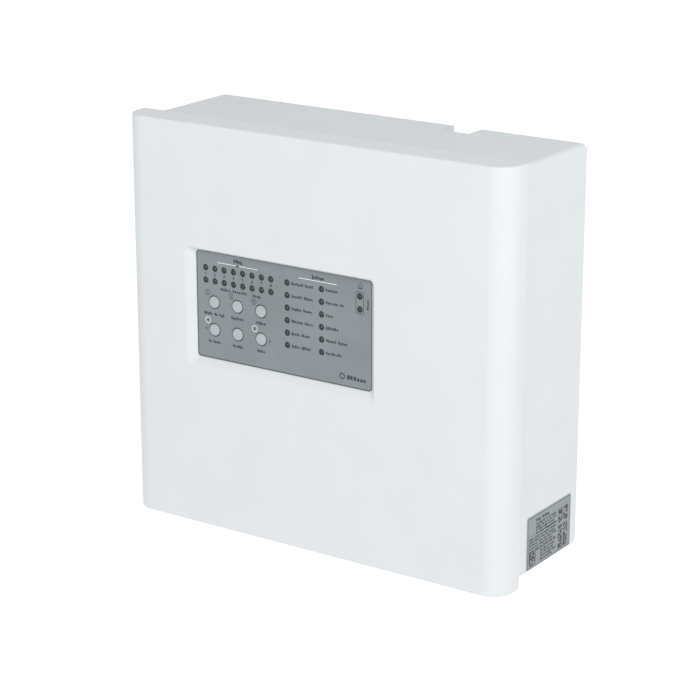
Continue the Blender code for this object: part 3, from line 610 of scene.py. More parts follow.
def base_additions():
    """Knuckles, bosses and recess housing of the base."""
    near = KNUCKLE_HALF + GAP
    web = (HINGE_X + 1.3, -BASE_X + 1.0, HINGE_Y - 1.2, HINGE_Y + 1.2)
    shells = []
    for z in HINGE_Z:
        for z0, z1 in ((z + near, z + KNUCKLE_END), (z - KNUCKLE_END, z - near)):
            shells.append(knuckle(z0, z1))
            shells.append(box(*web, z0 + 0.1, z1 - 0.1))
    tall = [(4.2, -2.0), (3.6, -2.9), (3.2, BOSS_TOP + 0.4), (2.9, BOSS_TOP)]
    low = [(3.8, -2.0), (3.2, BRACKET_FOOT + GAP)]
    shells += at_fixings(tall, low, from_level(-BASE_Z, (5.0, 1.0), (4.5, 12.0)))
    left = RECESS_X[0] - BASE_WALL
    right = RECESS_X[1] + BASE_WALL
    deep = -RECESS_DEEP - BASE_WALL
    shells.append(box(left, right, deep, -1.0, RECESS_FLOOR - BASE_WALL, BASE_Z - 1.0))
    return shells


def base_ribs():
    """Low ribs on the back wall and short gussets along the side walls."""
    shells = [box(-166.0, 166.0, -4.2, -2.0, z, z + 1.4) for z in (-55.0, 92.0)]
    inner = BASE_X - BASE_WALL
    for z in (-30.0, 30.0, 90.0):
        for side in (-1, 1):
            edges = sorted((side * (inner + 1.0), side * (inner - 1.6)))
            shells.append(box(*edges, -86.0, -2.0, z, z + 1.6))
    return shells


def keyhole(x, z):
    """Cut for a hook-on wall screw: a wide hole with a slot above it."""
    slot = rounded(x - 2.4, x + 2.4, z - 1.0, z + 11.0, (2.3, 2.3, 0, 0))
    hole = rod(4.8, -BACK_WALL - 1, 1, (x, z), "Y", 32)
    return hole, prism(slot, -BACK_WALL - 2, 2)


def make_base():
    """Deep base with its bosses, wall-fixing holes, cable recess and hinge knuckles."""
    outer = around(0.0, 0.0, BASE_X, BASE_Z, BASE_EDGE, 10)
    base = solid("base_shell", [prism(outer, BASE_FRONT, 0.0)], edge=0.5)
    inner = around(0.0, 0.0, BASE_X - BASE_WALL, BASE_Z - BASE_WALL, BASE_EDGE - BASE_WALL, 6)
    combine(base, [prism(inner, BASE_FRONT - 5, -BACK_WALL)], "DIFFERENCE")
    combine(base, [*base_additions(), *base_ribs()], "UNION")
    recess = box(*RECESS_X, -RECESS_DEEP, 5.0, RECESS_FLOOR, BASE_Z + 5.0)
    combine(base, [recess], "DIFFERENCE")
    cuts = [rod(5.9, RECESS_FLOOR - 5, RECESS_FLOOR + 2, GROMMET, "Z", 32)]
    cuts.append(rod(10.0, -BACK_WALL - 1, 1.0, PLUG, "Y", 40))
    for x, z in LOWER_SLOTS:
        cuts.append(prism(around(x, z, 5.0, 2.4, 2.3), -BACK_WALL - 1, 1.0))
    tall = [(SCREW_HOLE, -1.0), (SCREW_HOLE, BOSS_TOP - 1)]
    low = [(SCREW_HOLE, -1.0), (SCREW_HOLE, BRACKET_FOOT - 1)]
    cuts += at_fixings(tall, low, from_level(-BASE_Z, (2.1, -1.0), (2.1, 11.0)))
    combine(base, [*cuts, *hinge_bores()], "DIFFERENCE")
    for place in KEYHOLES:
        for shell in keyhole(*place):
            combine(base, [shell], "DIFFERENCE")
    piece(base, "case", "case", "rear_base")


def cover_outline(inset):
    """Plan of the cover, rounded at its two front corners."""
    radius = COVER_CORNER - inset
    side = COVER_X - inset
    return rounded(-side, side, FRONT + inset, RIM, (0, 0, radius, radius), 18)


def window_cut(steps=9):
    """Sunk window whose sides curve softly in from the front."""
    shell = [[AXES["Y"](a, b, FRONT - 2.0) for a, b in rounded(*WINDOW_OUTER, 5.0, 8)]]
    for step in range(steps + 1):
        share = step / steps
        sides = [o + (i - o) * share for o, i in zip(WINDOW_OUTER, WINDOW)]
        depth = FRONT + SINK * (0.4 * share + 0.6 * share**2)
        outline = rounded(*sides, 5.0 - 2.0 * share, 8)
        shell.append([AXES["Y"](a, b, depth) for a, b in outline])
    return shell


def led_places():
    """Centres of the thirty indicators."""
    places = [(x, z) for z in ZONE_Z for x in ZONE_X]
    places += [(x, z) for x in (FAULT_X, STATUS_X) for z in LIST_Z]
    places += [(LINK_X, z) for z in LINK_Z]
    return places


def key_places():
    """Centres of the six keys."""
    return [(x, z) for z in KEY_Z for x in KEY_X]


def window_holes(low, high):
    """Holes for the indicators and keys between two depths."""
    shells = [rod(LED_HOLE, low, high, place) for place in led_places()]
    shells += [rod(KEY_HOLE, low, high, place, "Y", 48) for place in key_places()]
    return shells


def clamp_slots(x):
    """Slot and counterbore for a clamp screw, open at the rim of the cover."""
    rear = RIM + 3.0
    low = -COVER_Z - 1.0
    slot = rounded(x - 2.6, x + 2.6, CLAMP_Y - 2.6, rear, (0, 0, 2.5, 2.5))
    bore = rounded(x - 4.7, x + 4.7, CLAMP_Y - 4.7, rear + 1, (0, 0, 4.6, 4.6))
    return prism(slot, low, -COVER_Z + 5.0, "Z"), prism(bore, low - 1, -COVER_Z + 1.8, "Z")


def cover_ribs():
    """Gussets between the plate of the cover and its top and bottom lips."""
    shells = []
    plate = FRONT + COVER_WALL - 1.0
    for x in (-140.0, -70.0, 0.0, 70.0, 140.0):
        for side in (-1, 1):
            lip = side * (COVER_Z - COVER_WALL + 1.0)
            foot = side * (COVER_Z - COVER_WALL - 11.0)
            outline = [(plate, lip), (BASE_FRONT - 2.0, lip), (plate, foot)]
            shells.append(prism(outline, x - 0.8, x + 0.8, "X"))
    return shells


def make_cover():
    """Shallow cover with the sunk window, the hinge knuckles and the clamp slots."""
    cover = solid("cover_shell", [prism(cover_outline(0.0), -COVER_Z, COVER_Z, "Z")])
    bevel(cover, COVER_EDGE, 5, 50.0)
    inner = [(x, y + 5.0 if y > RIM - 1 else y) for x, y in cover_outline(COVER_WALL)]
    inner_z = COVER_Z - COVER_WALL
    combine(cover, [prism(inner, -inner_z, inner_z, "Z")], "DIFFERENCE")
    x0, x1, z0, z1 = WINDOW_OUTER
    plate = (FRONT + COVER_WALL - 1.0, FLOOR_BACK)
    joins = [box(x0 - 2.0, x1 + 3.0, *plate, z0 - 2.0, z1 + 3.0), *cover_ribs()]
    web = (-COVER_X + 0.3, HINGE_X + 0.5, RIM - 2.0, HINGE_Y - 0.8)
    for z in HINGE_Z:
        joins.append(knuckle(z - KNUCKLE_HALF, z + KNUCKLE_HALF))
        joins.append(box(*web, z - 4.5, z + 4.5))
    combine(cover, joins, "UNION")
    boss = [(3.4, FLOOR_BACK - 1.0), (3.0, DISPLAY_FRONT - GAP)]
    combine(cover, [turned(boss, place) for place in DISPLAY_SCREWS], "UNION")
    combine(cover, [window_cut()], "DIFFERENCE")
    cuts = window_holes(FLOOR - 1.0, FLOOR_BACK + 1.0)
    cuts += [rod(SCREW_HOLE, FLOOR_BACK - 1.5, DISPLAY_FRONT, place) for place in DISPLAY_SCREWS]
    combine(cover, [*cuts, *hinge_bores()], "DIFFERENCE")
    for x in CLAMP_X:
        for shell in clamp_slots(x):
            combine(cover, [shell], "DIFFERENCE")
    piece(cover, "cover", "cover", "front_cover")


# ---------------------------------------------------------------- display


def make_film():
    """Printed display sheet over a thin dark band of painted shade for the shadowed gap round the sheet."""
    outline = rounded(*FILM, 2.6, 8)
    sheet = prism(outline, FILM_FRONT, FILM_FRONT + FILM_T)
    holes = window_holes(FILM_FRONT - 1, FILM_FRONT + 1)
    detail("display_film", [sheet], "film", "cover", "display_overlay", [holes])
    x0, x1, z0, z1 = FILM
    # The dark band is painted shade for the gap round the sheet. It is 0.8 mm wide at the left and bottom,
    # where the shadow falls, and thinner at the top and right.
    inner = rounded(x0 + 0.8, x1 - 0.4, z0 + 0.8, z1 - 0.2, 2.2, 8)
    cut = prism(inner, FILM_FRONT - 1.0, FILM_FRONT + 1.0)
    detail("display_film_gap_shade", [mark(outline)], "film_gap_shade", "cover", cut=[[cut]])


def mark(outline):
    """Thin printed shape on the display, from an outline in X and Z."""
    return prism(outline, FILM_FRONT - PRINT_T, FILM_FRONT)


def loop(outer, inner):
    """Printed outline between two matching outlines."""
    return band(outer, inner, FILM_FRONT - PRINT_T, FILM_FRONT)


def ring(x, z, radius, width):
    """Printed ring."""
    return loop(circle(x, z, radius, 28), circle(x, z, radius - width, 28))


def word(x, z, letters, width, height, dice, upright=False):
    """Outlines of small blocks that stand for the letters of a printed word."""
    outlines = []
    step = width / letters
    for i in range(letters):
        wide = step * dice.uniform(0.62, 0.86)
        tall = height * (1.0 if i == 0 else dice.choice((0.66, 0.70, 0.74, 0.98)))
        low = -0.22 * height if dice.random() < 0.10 else 0.0
        start = i * step
        if upright:
            outlines.append(rounded(x - tall, x - low, z + start, z + start + wide))
        else:
            outlines.append(rounded(x + start, x + start + wide, z + low, z + tall))
    return outlines


def words(x, z, counts, width, height, dice, upright=False):
    """Outlines of several words in a row, from their letter counts and whole width."""
    step = width / (sum(counts) + 0.9 * (len(counts) - 1))
    outlines = []
    at = 0.0
    for letters in counts:
        dx, dz = (0.0, at) if upright else (at, 0.0)
        outlines += word(x + dx, z + dz, letters, letters * step, height, dice, upright)
        at += (letters + 0.9) * step
    return outlines


def text_line(x, z, width, height, dice):
    """Outlines of a line of words of random lengths."""
    counts = []
    room = width / (0.62 * height)
    while sum(counts) + len(counts) < room - 3:
        counts.append(dice.randint(3, 8))
    return words(x, z, counts or [3], width, height, dice)


def numeral(number, x, z, size):
    """Mesh of a numeral on the display, centred on a place."""
    curve = bpy.data.curves.new("numeral", "FONT")
    curve.body = str(number)
    curve.size = size * MM
    curve.align_x = "CENTER"
    curve.align_y = "CENTER"
    curve.extrude = PRINT_T / 2 * MM
    curve.offset = 0.035 * size * MM
    curve.resolution_u = 3
    obj = add_object("numeral", curve)
    obj.location = (x * MM, (FILM_FRONT - PRINT_T / 2) * MM, z * MM)
    obj.rotation_euler = (math.pi / 2, 0.0, 0.0)
    bpy.context.view_layer.update()
    mesh = finished_mesh(obj)
    mesh.transform(obj.matrix_world)
    bpy.data.objects.remove(obj)
    return mesh


def joined(name, meshes):
    """Object of several meshes together."""
    bm = bmesh.new()
    for mesh in meshes:
        bm.from_mesh(mesh)
    mesh = bpy.data.meshes.new(name)
    bm.to_mesh(mesh)
    bm.free()
    return add_object(name, mesh)


PRINT_WIDTH = 0.42
BADGES = {1: (-6.5, 7.2), 2: (-6.1, 7.5), 3: (-6.8, 6.8), 4: (-6.5, 7.2), 6: (-6.1, 7.6)}
DARK_RINGS = (1, 2, 3)
WHITE_RINGS = (4, 6)
KEY_WORDS = (
    ((5, 2, 3), 20.0), ((7,), 12.0), ((5,), 9.0), ((2, 5), 12.0), ((5,), 9.5), ((4,), 7.5)
)
FAULT_WORDS = (
    ((7, 5), 20.5), ((6, 5), 20.0), ((6, 5), 19.0), ((7, 5), 20.0), ((5, 5), 17.0), ((5, 6), 18.0)
)
STATUS_WORDS = (
    ((6,), 10.5), ((6, 2), 16.5), ((4,), 7.0), ((7,), 11.5), ((6, 5), 19.5), ((8,), 14.5)
)
LETTER = 2.3


def panel_words(dice):
    """Greeked words of the display."""
    outlines = words(-71.4, 57.8, (4,), 8.6, 2.9, dice)
    outlines += words(2.4, 57.0, (6,), 11.6, 2.6, dice)
    outlines += words(-84.3, 33.6, (5, 7), 25.5, LETTER, dice)
    outlines += words(-53.4, 33.3, (4,), 7.6, LETTER, dice)
    for (x, z), (counts, width) in zip(key_places(), KEY_WORDS):
        outlines += words(x - width / 2, z - 10.8, counts, width, LETTER, dice)
    for z, fault, status in zip(LIST_Z, FAULT_WORDS, STATUS_WORDS):
        outlines += words(FAULT_X + 4.2, z - 1.1, *fault, LETTER, dice)
        outlines += words(STATUS_X + 4.3, z - 1.1, *status, LETTER, dice)
    outlines += words(54.0, 40.6, (4,), 8.4, 1.9, dice, upright=True)
    outlines += words(34.5, -17.2, (6,), 18.0, 3.4, dice)
    return outlines


def drop(x, z, width, height, points=22):
    """Outline of a plain drop, round below and pointed above."""
    outline = []
    for i in range(points):
        angle = 2 * math.pi * i / points
        across = math.sin(angle) * (1 - math.cos(angle)) / 1.3
        outline.append((x + across * width / 2, z + math.cos(angle) * height / 2))
    return outline


def badge(number):
    """Centre of the mark beside a key."""
    x, z = key_places()[number - 1]
    dx, dz = BADGES[number]
    return x + dx, z + dz


def arrow(number, side, rise):
    """Outline of a small arrow beside a key, pointing away from it."""
    x, z = key_places()[number - 1]
    z += rise
    near = x + side * 7.6
    return [(x + side * 9.4, z), (near, z + 1.4), (x + side * 7.9, z), (near, z - 1.4)]


def make_print():
    """Dark and white print on the display."""
    dark = [mark(outline) for outline in panel_words(random.Random(11))]
    dark.append(mark([(-69.2, 56.2), (-66.0, 56.2), (-67.6, 54.4)]))
    for number in DARK_RINGS:
        dark += ring(*badge(number), 2.4, PRINT_WIDTH)
    dark += [mark(arrow(4, -1, 0.2)), mark(arrow(6, 1, -0.2))]
    dark += loop(drop(46.3, 58.6, 4.6, 6.4), drop(46.3, 58.5, 3.6, 5.2))
    dark += loop(drop(46.3, 57.4, 2.0, 2.8), drop(46.3, 57.3, 1.2, 1.9))
    link_frame = (42.4, 49.6, 36.0, 53.6)
    dark += loop(rounded(*link_frame, 1.4), inside(link_frame, 0.4, 1.1, 6))
    dark += ring(30.0, -15.4, 2.5, 0.9)
    meshes = [mesh_of("dark", dark)]
    meshes += [numeral(i + 1, x, 45.1, 3.4) for i, x in enumerate(ZONE_X)]
    meshes += [numeral(number, *badge(number), 3.0) for number in BADGES]
    piece(joined("display_print_dark", meshes), "ink_dark", "cover")
    lines = ((-86.9, -68.9, 55.5), (-66.3, -48.8, 55.5), (-9.8, 25.1, 55.35))
    white = [mark(rounded(x0, x1, z, z + 0.45)) for x0, x1, z in lines]
    for number in WHITE_RINGS:
        white += ring(*badge(number), 2.6, PRINT_WIDTH)
    piece(joined("display_print_white", [mesh_of("white", white)]), "ink_white", "cover")


def make_lenses():
    """Light guides with a smoked ring round a paler diode at each window."""
    pin = from_level(
        FILM_FRONT,
        (1.30, 0.55), (1.36, 0.10), (1.65, -0.10), (LED_R - 0.15, -0.08), (LED_R, 0.12),
    )
    pin.append((LED_R, GUIDE_Y[0] + 0.5))
    guides = {
        "zone_light_guide_upper": [(x, ZONE_Z[0]) for x in ZONE_X],
        "zone_light_guide_lower": [(x, ZONE_Z[1]) for x in ZONE_X],
        "fault_light_guide": [(FAULT_X, z) for z in LIST_Z],
        "status_light_guide": [(STATUS_X, z) for z in LIST_Z],
        "link_light_guide": [(LINK_X, z) for z in LINK_Z],
    }
    for node, places in guides.items():
        xs = [x for x, _ in places]
        zs = [z for _, z in places]
        bar = inside((min(xs), max(xs), min(zs), max(zs)), -3.2, 1.5, 4)
        shells = [prism(bar, *GUIDE_Y), *(turned(pin, place, "Y", 28) for place in places)]
        detail(node.replace("guide", "pipes"), shells, "lens", "cover", node)
    dome = from_level(
        FILM_FRONT, (0.20, 0.02), (0.60, 0.07), (0.92, 0.20), (1.12, 0.40), (1.18, 0.60)
    )
    domes = [turned(dome, place, "Y", 20) for place in led_places()]
    detail("indicator_diodes", domes, "core", "cover")


def make_keys():
    """Six round keys with a crowned face and a rolled edge."""
    front = FILM_FRONT - 1.0
    flange = FLOOR_BACK + GAP
    lip = 0.75
    for number, place in enumerate(key_places(), 1):
        profile = from_level(front, (0.6, 0.0), (2.4, 0.03), (KEY_R - lip, 0.14))
        for step in range(1, 6):
            angle = math.pi / 2 * step / 5
            inset = KEY_R - lip + lip * math.sin(angle)
            profile.append((inset, front + 0.14 + lip * (1 - math.cos(angle))))
        profile += [(KEY_R, flange), (KEY_FLANGE, flange), (KEY_FLANGE, flange + 1.0)]
        detail(f"key_cap_{number}", [turned(profile, place, "Y", 48)], "key",
               f"key_body_{number}", f"key_{number}")


def make_collars():
    """Dark rings of painted shade in the gaps round the keys."""
    shells = []
    # Each ring is painted shade that fills the gap between key and hole, where the key's side wall is in
    # shadow.
    for x, z in key_places():
        edges = (circle(x, z, KEY_HOLE - 0.03, 40), circle(x, z, KEY_R + 0.08, 40))
        shells += band(*edges, FILM_FRONT + 0.3, FLOOR_BACK)
    detail("key_gap_shade", shells, "rubber", "cover")


def make_display_details():
    """Solder joints, chips and resistors on the back of the display board."""
    dice = random.Random(5)
    rear = DISPLAY_REAR
    cone = from_level(rear, (0.75, 0.0), (0.55, 0.35), (0.25, 0.9))
    joints = [turned(cone, (x + dx, z), "Y", 10) for x, z in led_places() for dx in (-1.27, 1.27)]
    detail("display_board_joints", joints, "tin", "cover")
    places = ((-60.0, 12.0), (-30.0, 12.0), (0.0, -8.0))
    chips = [block(x, z, 5.0, 2.0, rear, rear + 1.7) for x, z in places]
    detail("display_board_chips", chips, "black", "cover", edge=0.2)
    places = [(x, 32.0 + dice.uniform(-0.2, 0.2)) for x in ZONE_X]
    places += [(-12.4, z) for z in LIST_Z]
    small = [block(x, z, 1.6, 0.8, rear, rear + 0.6) for x, z in places]
    detail("display_board_resistors", small, "ceramic", "cover", edge=0.12)


# ---------------------------------------------------------------- screws and pins


def head_slot(place, size, low, high, axis):
    """Slot of a screw head, narrower at its foot."""
    x, y = place
    a, b = size
    rings = []
    for shrink, height in ((1.0, low), (0.82, high)):
        outline = [(-a, -b), (a, -b), (a, b), (-a, b)]
        rings.append([AXES[axis](x + p * shrink, y + q * shrink, height) for p, q in outline])
    return rings


def screw(node, body, axis="Y", flip=False):
    """Cross-slotted screw in place of a CAD one, its head at the low end or, flipped, the high."""
    low, high = span(node)
    along = "XYZ".index(axis)
    across = [i for i in range(3) if i != along]
    place = [(low[i] + high[i]) / 2 for i in across]
    radius = max((high[i] - low[i]) / 2 for i in across)
    start, end = (high[along], low[along]) if flip else (low[along], high[along])
    side = -1 if flip else 1
    head = radius * (0.36 if axis == "Z" else 0.75)
    shank = radius * 0.42
    profile = [(radius * 0.45, start)]
    for step in range(1, 7):
        angle = math.pi / 2 * step / 6
        reach = radius * (0.45 + 0.55 * math.sin(angle))
        profile.append((reach, start + side * head * 0.75 * (1 - math.cos(angle))))
    thread = start + side * head
    profile += [(radius, thread), (shank, thread)]
    turns = 10
    for i in range(turns):
        at = thread + (end - thread) * (i + 0.5) / turns
        profile += [(shank, at - side * 0.2), (shank * 0.82, at), (shank, at + side * 0.2)]
    profile.append((shank * 0.6, end))
    cuts = []
    for size in ((radius * 0.55, radius * 0.11), (radius * 0.11, radius * 0.55)):
        cuts.append([head_slot(place, size, start - side, start + side * head * 0.6, axis)])
    shells = [turned(profile, place, axis, 28)]
    detail(f"{node}_head", shells, "steel", body, node, cuts)


def make_screws():
    """All the screws of the panel and both hinge pins."""
    nodes = [f"board_screw_{i}" for i in range(1, 5)]
    nodes += [f"{name}_screw_{i}" for name in ("power", "bracket") for i in (1, 2)]
    for node in nodes:
        screw(node, "case")
    for number in (1, 2):
        screw(f"display_screw_{number}", "cover", flip=True)
    for side in ("left", "right"):
        screw(f"clamp_screw_{side}", "case", "Z")
    for place in ("upper", "lower"):
        node = f"hinge_pin_{place}"
        low, high = span(node)
        profile = from_level(low[2], (0.55, 0.0), (0.75, 0.3))
        profile += from_level(
            high[2], (0.75, -1.0), (1.7, -1.0), (1.65, -0.5), (1.2, -0.1), (0.5, 0.0)
        )
        pin = turned(profile, HINGE, "Z", 20)
        detail(f"{node}_turned", [pin], "steel", "case", node)


# ---------------------------------------------------------------- boards


def terminal_block(node, ways):
    """Terminal block with a screw well and a wire entry in each way, and its screws."""
    low, high = span(node)
    x0, top, z0 = low
    x1, foot, z1 = high
    pitch = (x1 - x0) / ways
    chamfer = 0.12 * (z1 - z0)
    outline = [
        (foot, z0), (foot, z1), (top + 3.0 * chamfer, z1), (top + 0.5, z1 - 2.0 * chamfer),
        (top, z1 - 2.4 * chamfer), (top, z0 + 0.6 * chamfer), (top + 0.6 * chamfer, z0),
    ]
    well = pitch * 0.34
    middle = z0 + (z1 - z0) * 0.38
    columns = [x0 + pitch * (way + 0.5) for way in range(ways)]
    joints = [x0 + pitch * way for way in range(1, ways)]
    wells = [rod(well, top - 1, top + 3.4, (x, middle), "Y", 20) for x in columns]
    entries = [box(x - well, x + well, foot - 5.5, foot - 1.8, z1 - 4.0, z1 + 1.0) for x in columns]
    joint_z = (z0 - 1, z1 - 2.6 * chamfer)
    grooves = [box(x - 0.18, x + 0.18, top - 1, top + 0.8, *joint_z) for x in joints]
    cut = [wells, entries, grooves]
    body = prism(outline, x0, x1, "X")
    detail(f"{node}_body", [body], "terminal", "case", node, cut)
    head = from_level(top, (well * 0.5, 1.5), (well * 0.9, 1.7), (well * 0.9, 3.4))
    heads = [turned(head, (x, middle), "Y", 20) for x in columns]
    slots = [block(x, middle, well, 0.22, top, top + 2.2) for x in columns]
    detail(f"{node}_screws", heads, "tin", cut=[slots])


def socket(name, node, body, rear):
    """Ribbon socket plugged into a header, with a strain relief bar over the cable."""
    low, high = span(node)
    x = (low[0] + high[0]) / 2
    z0, z1 = low[2] + 1.8, high[2] - 1.8
    side = 1 if rear else -1
    face = high[1] if rear else low[1]
    tongue = sorted((face - side * 4.5, face + side * 0.5))
    head = sorted((face + side * 0.4, face + side * 5.6))
    bar = sorted((face + side * 6.0, face + side * 8.4))
    shells = [
        box(x - 1.05, x + 1.05, *tongue, z0, z1),
        box(x - 2.9, x + 2.9, *head, z0 - 0.6, z1 + 0.6),
    ]
    detail(name, shells, "black", body, edge=0.3)
    clip = box(x - 2.4, x + 2.4, *bar, z0 - 0.4, z1 + 0.4)
    detail(f"{name}_clip", [clip], "black", body, edge=0.4)


RIBBON_ROUTE = (
    (-132.0, -24.0), (-132.5, -38.0), (-141.0, -56.0), (-153.0, -70.0), (-152.0, -86.0),
    (-136.0, -92.0), (-118.0, -86.0), (-102.0, -84.0), (-96.0, -94.0), (-96.0, -100.0),
)
RIBBON_Z = 20.0
RIBBON_WAYS = 20
RIBBON_PITCH = 1.27


def ribbon_section():
    """Section of the cable as (height, half thickness), one ridge for each conductor."""
    section = []
    for k in range(RIBBON_WAYS * 4 + 1):
        height = RIBBON_Z + (k / 4 - RIBBON_WAYS / 2) * RIBBON_PITCH
        section.append((height, 0.16 + 0.28 * abs(math.sin(math.pi * k / 4)) ** 0.6))
    return section


def make_ribbon():
    """Ridged flat cable from the main board to the display board, beside the hinge."""
    path = smooth_path([(x, y, 0.0) for x, y in RIBBON_ROUTE], 8)
    section = ribbon_section()
    rings = []
    for i, point in enumerate(path):
        along = heading(path, i)
        across = Vector((-along.y, along.x, 0.0))
        near = [point + across * half + Vector((0, 0, z)) for z, half in section]
        far = [point - across * half + Vector((0, 0, z)) for z, half in reversed(section)]
        rings.append(near + far)
    cable = solid("ribbon_flat", [rings])
    piece(cable, "ribbon", None, "ribbon_cable")
    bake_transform(cable)
    socket("ribbon_socket_board", "board_header", "case", rear=False)
    socket("ribbon_socket_display", "display_header", "cover", rear=True)


def make_resistors():
    """Resistors with tinned ends in two rows under the terminals, and six bare ones."""
    deep = (BOARD_FACE - 0.65, BOARD_FACE)
    bodies = []
    ends = []
    for x0, ways in ((-134.0, 20), (-24.0, 15)):
        for x in [x0 + TERMINAL_PITCH * (way + 0.5) for way in range(ways)]:
            for z in (61.0, 55.5):
                bodies.append(block(x, z, 0.8, 1.2, *deep))
                ends += [block(x, z + dz, 0.8, 0.25, *deep) for dz in (-1.45, 1.45)]
    for i, x in enumerate(range(-120, -84, 6)):
        bodies.append(block(x, -12.0 - 3.0 * (i % 2), 1.2, 0.8, *deep))
    detail("board_resistors", bodies, "ceramic", edge=0.1)
    detail("board_resistor_ends", ends, "tin", edge=0.1)


CHIPS = (
    (-116.0, 40.0, 5.0), (-96.0, 40.0, 5.0), (-76.0, 40.0, 5.0), (-36.0, 18.0, 4.0),
    (-96.0, 8.0, 6.5), (40.0, 40.0, 5.0), (112.0, -20.0, 4.0),
)
CHIP_PITCH = 1.27


def make_chips():
    """Small chips and their leads, and the leads of the processor."""
    face = BOARD_FACE
    chips = [block(x, z, half, 2.0, face - 1.9, face - 0.2) for x, z, half in CHIPS]
    leads = []
    for x, z, half in CHIPS:
        count = int(half * 2 / CHIP_PITCH)
        for i in range(count):
            at = x - (count - 1) * CHIP_PITCH / 2 + i * CHIP_PITCH
            leads += [block(at, z + dz, 0.22, 0.55, face - 0.5, face) for dz in (-2.45, 2.45)]
    for i in range(10):
        at = -65.7 + CHIP_PITCH * i
        leads += [block(at, z, 0.25, 0.9, face - 0.45, face) for z in (11.2, 28.8)]
    detail("board_chips", chips, "black", edge=0.2)
    detail("board_chip_leads", leads, "tin")


CANS = (
    (-8.0, -10.0, 4.0, 11.0), (6.0, -10.0, 4.0, 11.0), (20.0, -10.0, 5.0, 13.0),
    (46.0, 18.0, 3.2, 7.0), (-50.0, -8.0, 3.2, 7.0), (94.0, -6.0, 4.0, 12.0),
    (150.0, 20.0, 4.0, 12.0),
)


def make_cans():
    """Round capacitors on both boards, the three tall ones in a row with bare tops."""
    face = BOARD_FACE
    cans = []
    for x, z, radius, tall in CANS:
        profile = from_level(face - tall, (radius - 0.5, 0.0), (radius - 0.1, 0.2), (radius, 0.6))
        profile += from_level(face, (radius, -1.6), (radius - 0.3, -1.2), (radius, -0.8), (radius, 0.0))
        cans.append(turned(profile, (x, z), "Y", 28))
    detail("board_capacitors", cans, "sleeve")
    tops = []
    for x, z, radius, tall in CANS[:3]:
        profile = from_level(face - tall, (radius - 0.9, -0.05), (radius - 0.7, 0.1))
        tops.append(turned(profile, (x, z), "Y", 28))
    detail("board_capacitor_tops", tops, "aluminium")


def make_relays():
    """Relay cases with greeked print."""
    dice = random.Random(3)
    for number in (1, 2):
        node = f"relay_{number}"
        low, high = span(node)
        case = box(low[0], high[0], low[1], high[1], low[2], high[2])
        detail(f"{node}_case", [case], "relay", "case", node, edge=0.9)
        rows = []
        for z, height in ((22.5, 2.0), (19.0, 1.3), (16.5, 1.3)):
            rows += text_line(low[0] + 2.5, z, 13.5, height, dice)
        shells = [prism(outline, low[1] - PRINT_T, low[1]) for outline in rows]
        detail(f"{node}_print", shells, "ink_white")


def make_transformer():
    """Ferrite core with a taped winding."""
    low, high = span("power_transformer")
    core = prism(rounded(98.0, 130.0, 2.0, 29.0, 0.6, 3), low[1] + 3.0, high[1] - 3.0)
    detail("transformer_core", [core], "ferrite", "case", "power_transformer", edge=0.3)
    winding = prism(rounded(101.0, 127.0, 7.0, 24.0, 3.5, 8), low[1], high[1])
    detail("transformer_winding", [winding], "tape", edge=0.8)


def make_large_capacitor():
    """Sleeved capacitor of the power board, with a scored lid."""
    low, high = span("power_capacitor")
    x, z = (low[0] + high[0]) / 2, (low[2] + high[2]) / 2
    top = low[1]
    sleeve = from_level(top, (6.6, 0.5), (7.2, 0.0), (8.3, 0.0), (8.8, 0.4), (9.0, 1.2))
    sleeve += from_level(high[1], (9.0, -4.0), (8.6, -3.4), (9.0, -2.8), (9.0, 0.0))
    shells = [turned(sleeve, (x, z), "Y", 48)]
    detail("capacitor_sleeve", shells, "sleeve", "case", "power_capacitor")
    lid = turned(from_level(top, (6.4, 0.25), (6.6, 0.6)), (x, z), "Y", 40)
    scores = [[block(x, z, a, b, top, top + 0.4)] for a, b in ((5.0, 0.2), (0.2, 5.0))]
    detail("capacitor_lid", [lid], "aluminium", cut=scores)


def make_fuse():
    """Fuse holder with a slotted cap."""
    low, high = span("fuse_holder")
    body = box(134.0, 158.0, low[1], high[1], low[2], high[2])
    detail("fuse_body", [body], "black", "case", "fuse_holder", edge=0.8)
    y, z = high[1] - 8.5, (low[2] + high[2]) / 2
    profile = from_level(low[0], (4.2, 0.0), (4.8, 0.4), (5.0, 1.0)) + [(5.0, 134.5)]
    slot = box(low[0] - 1, low[0] + 1.2, y - 3.6, y + 3.6, z - 0.6, z + 0.6)
    detail("fuse_cap", [turned(profile, (y, z), "X", 32)], "black", cut=[[slot]])


def make_earth_stud():
    """Threaded earth stud with a washer and a nut."""
    low, high = span("earth_stud")
    seat = high[1]
    stud = from_level(low[1], (1.6, 0.0), (2.0, 0.4))
    for i in range(9):
        at = low[1] + 0.8 + 1.0 * i
        stud += [(2.0, at), (1.7, at + 0.5)]
    stud.append((2.0, seat))
    nut = from_level(seat, (3.6, -3.9), (3.95, -3.5), (3.95, -1.0))
    shells = [
        turned(stud, EARTH_STUD, "Y", 24),
        rod(4.2, seat - 0.9, seat, EARTH_STUD, "Y", 32),
        turned(nut, EARTH_STUD, "Y", 6),
    ]
    detail("earth_stud_turned", shells, "brass", "case", "earth_stud")


# ---------------------------------------------------------------- batteries and leads

POLE_INSET = 8.5
POLE_OFFSET = -22.0


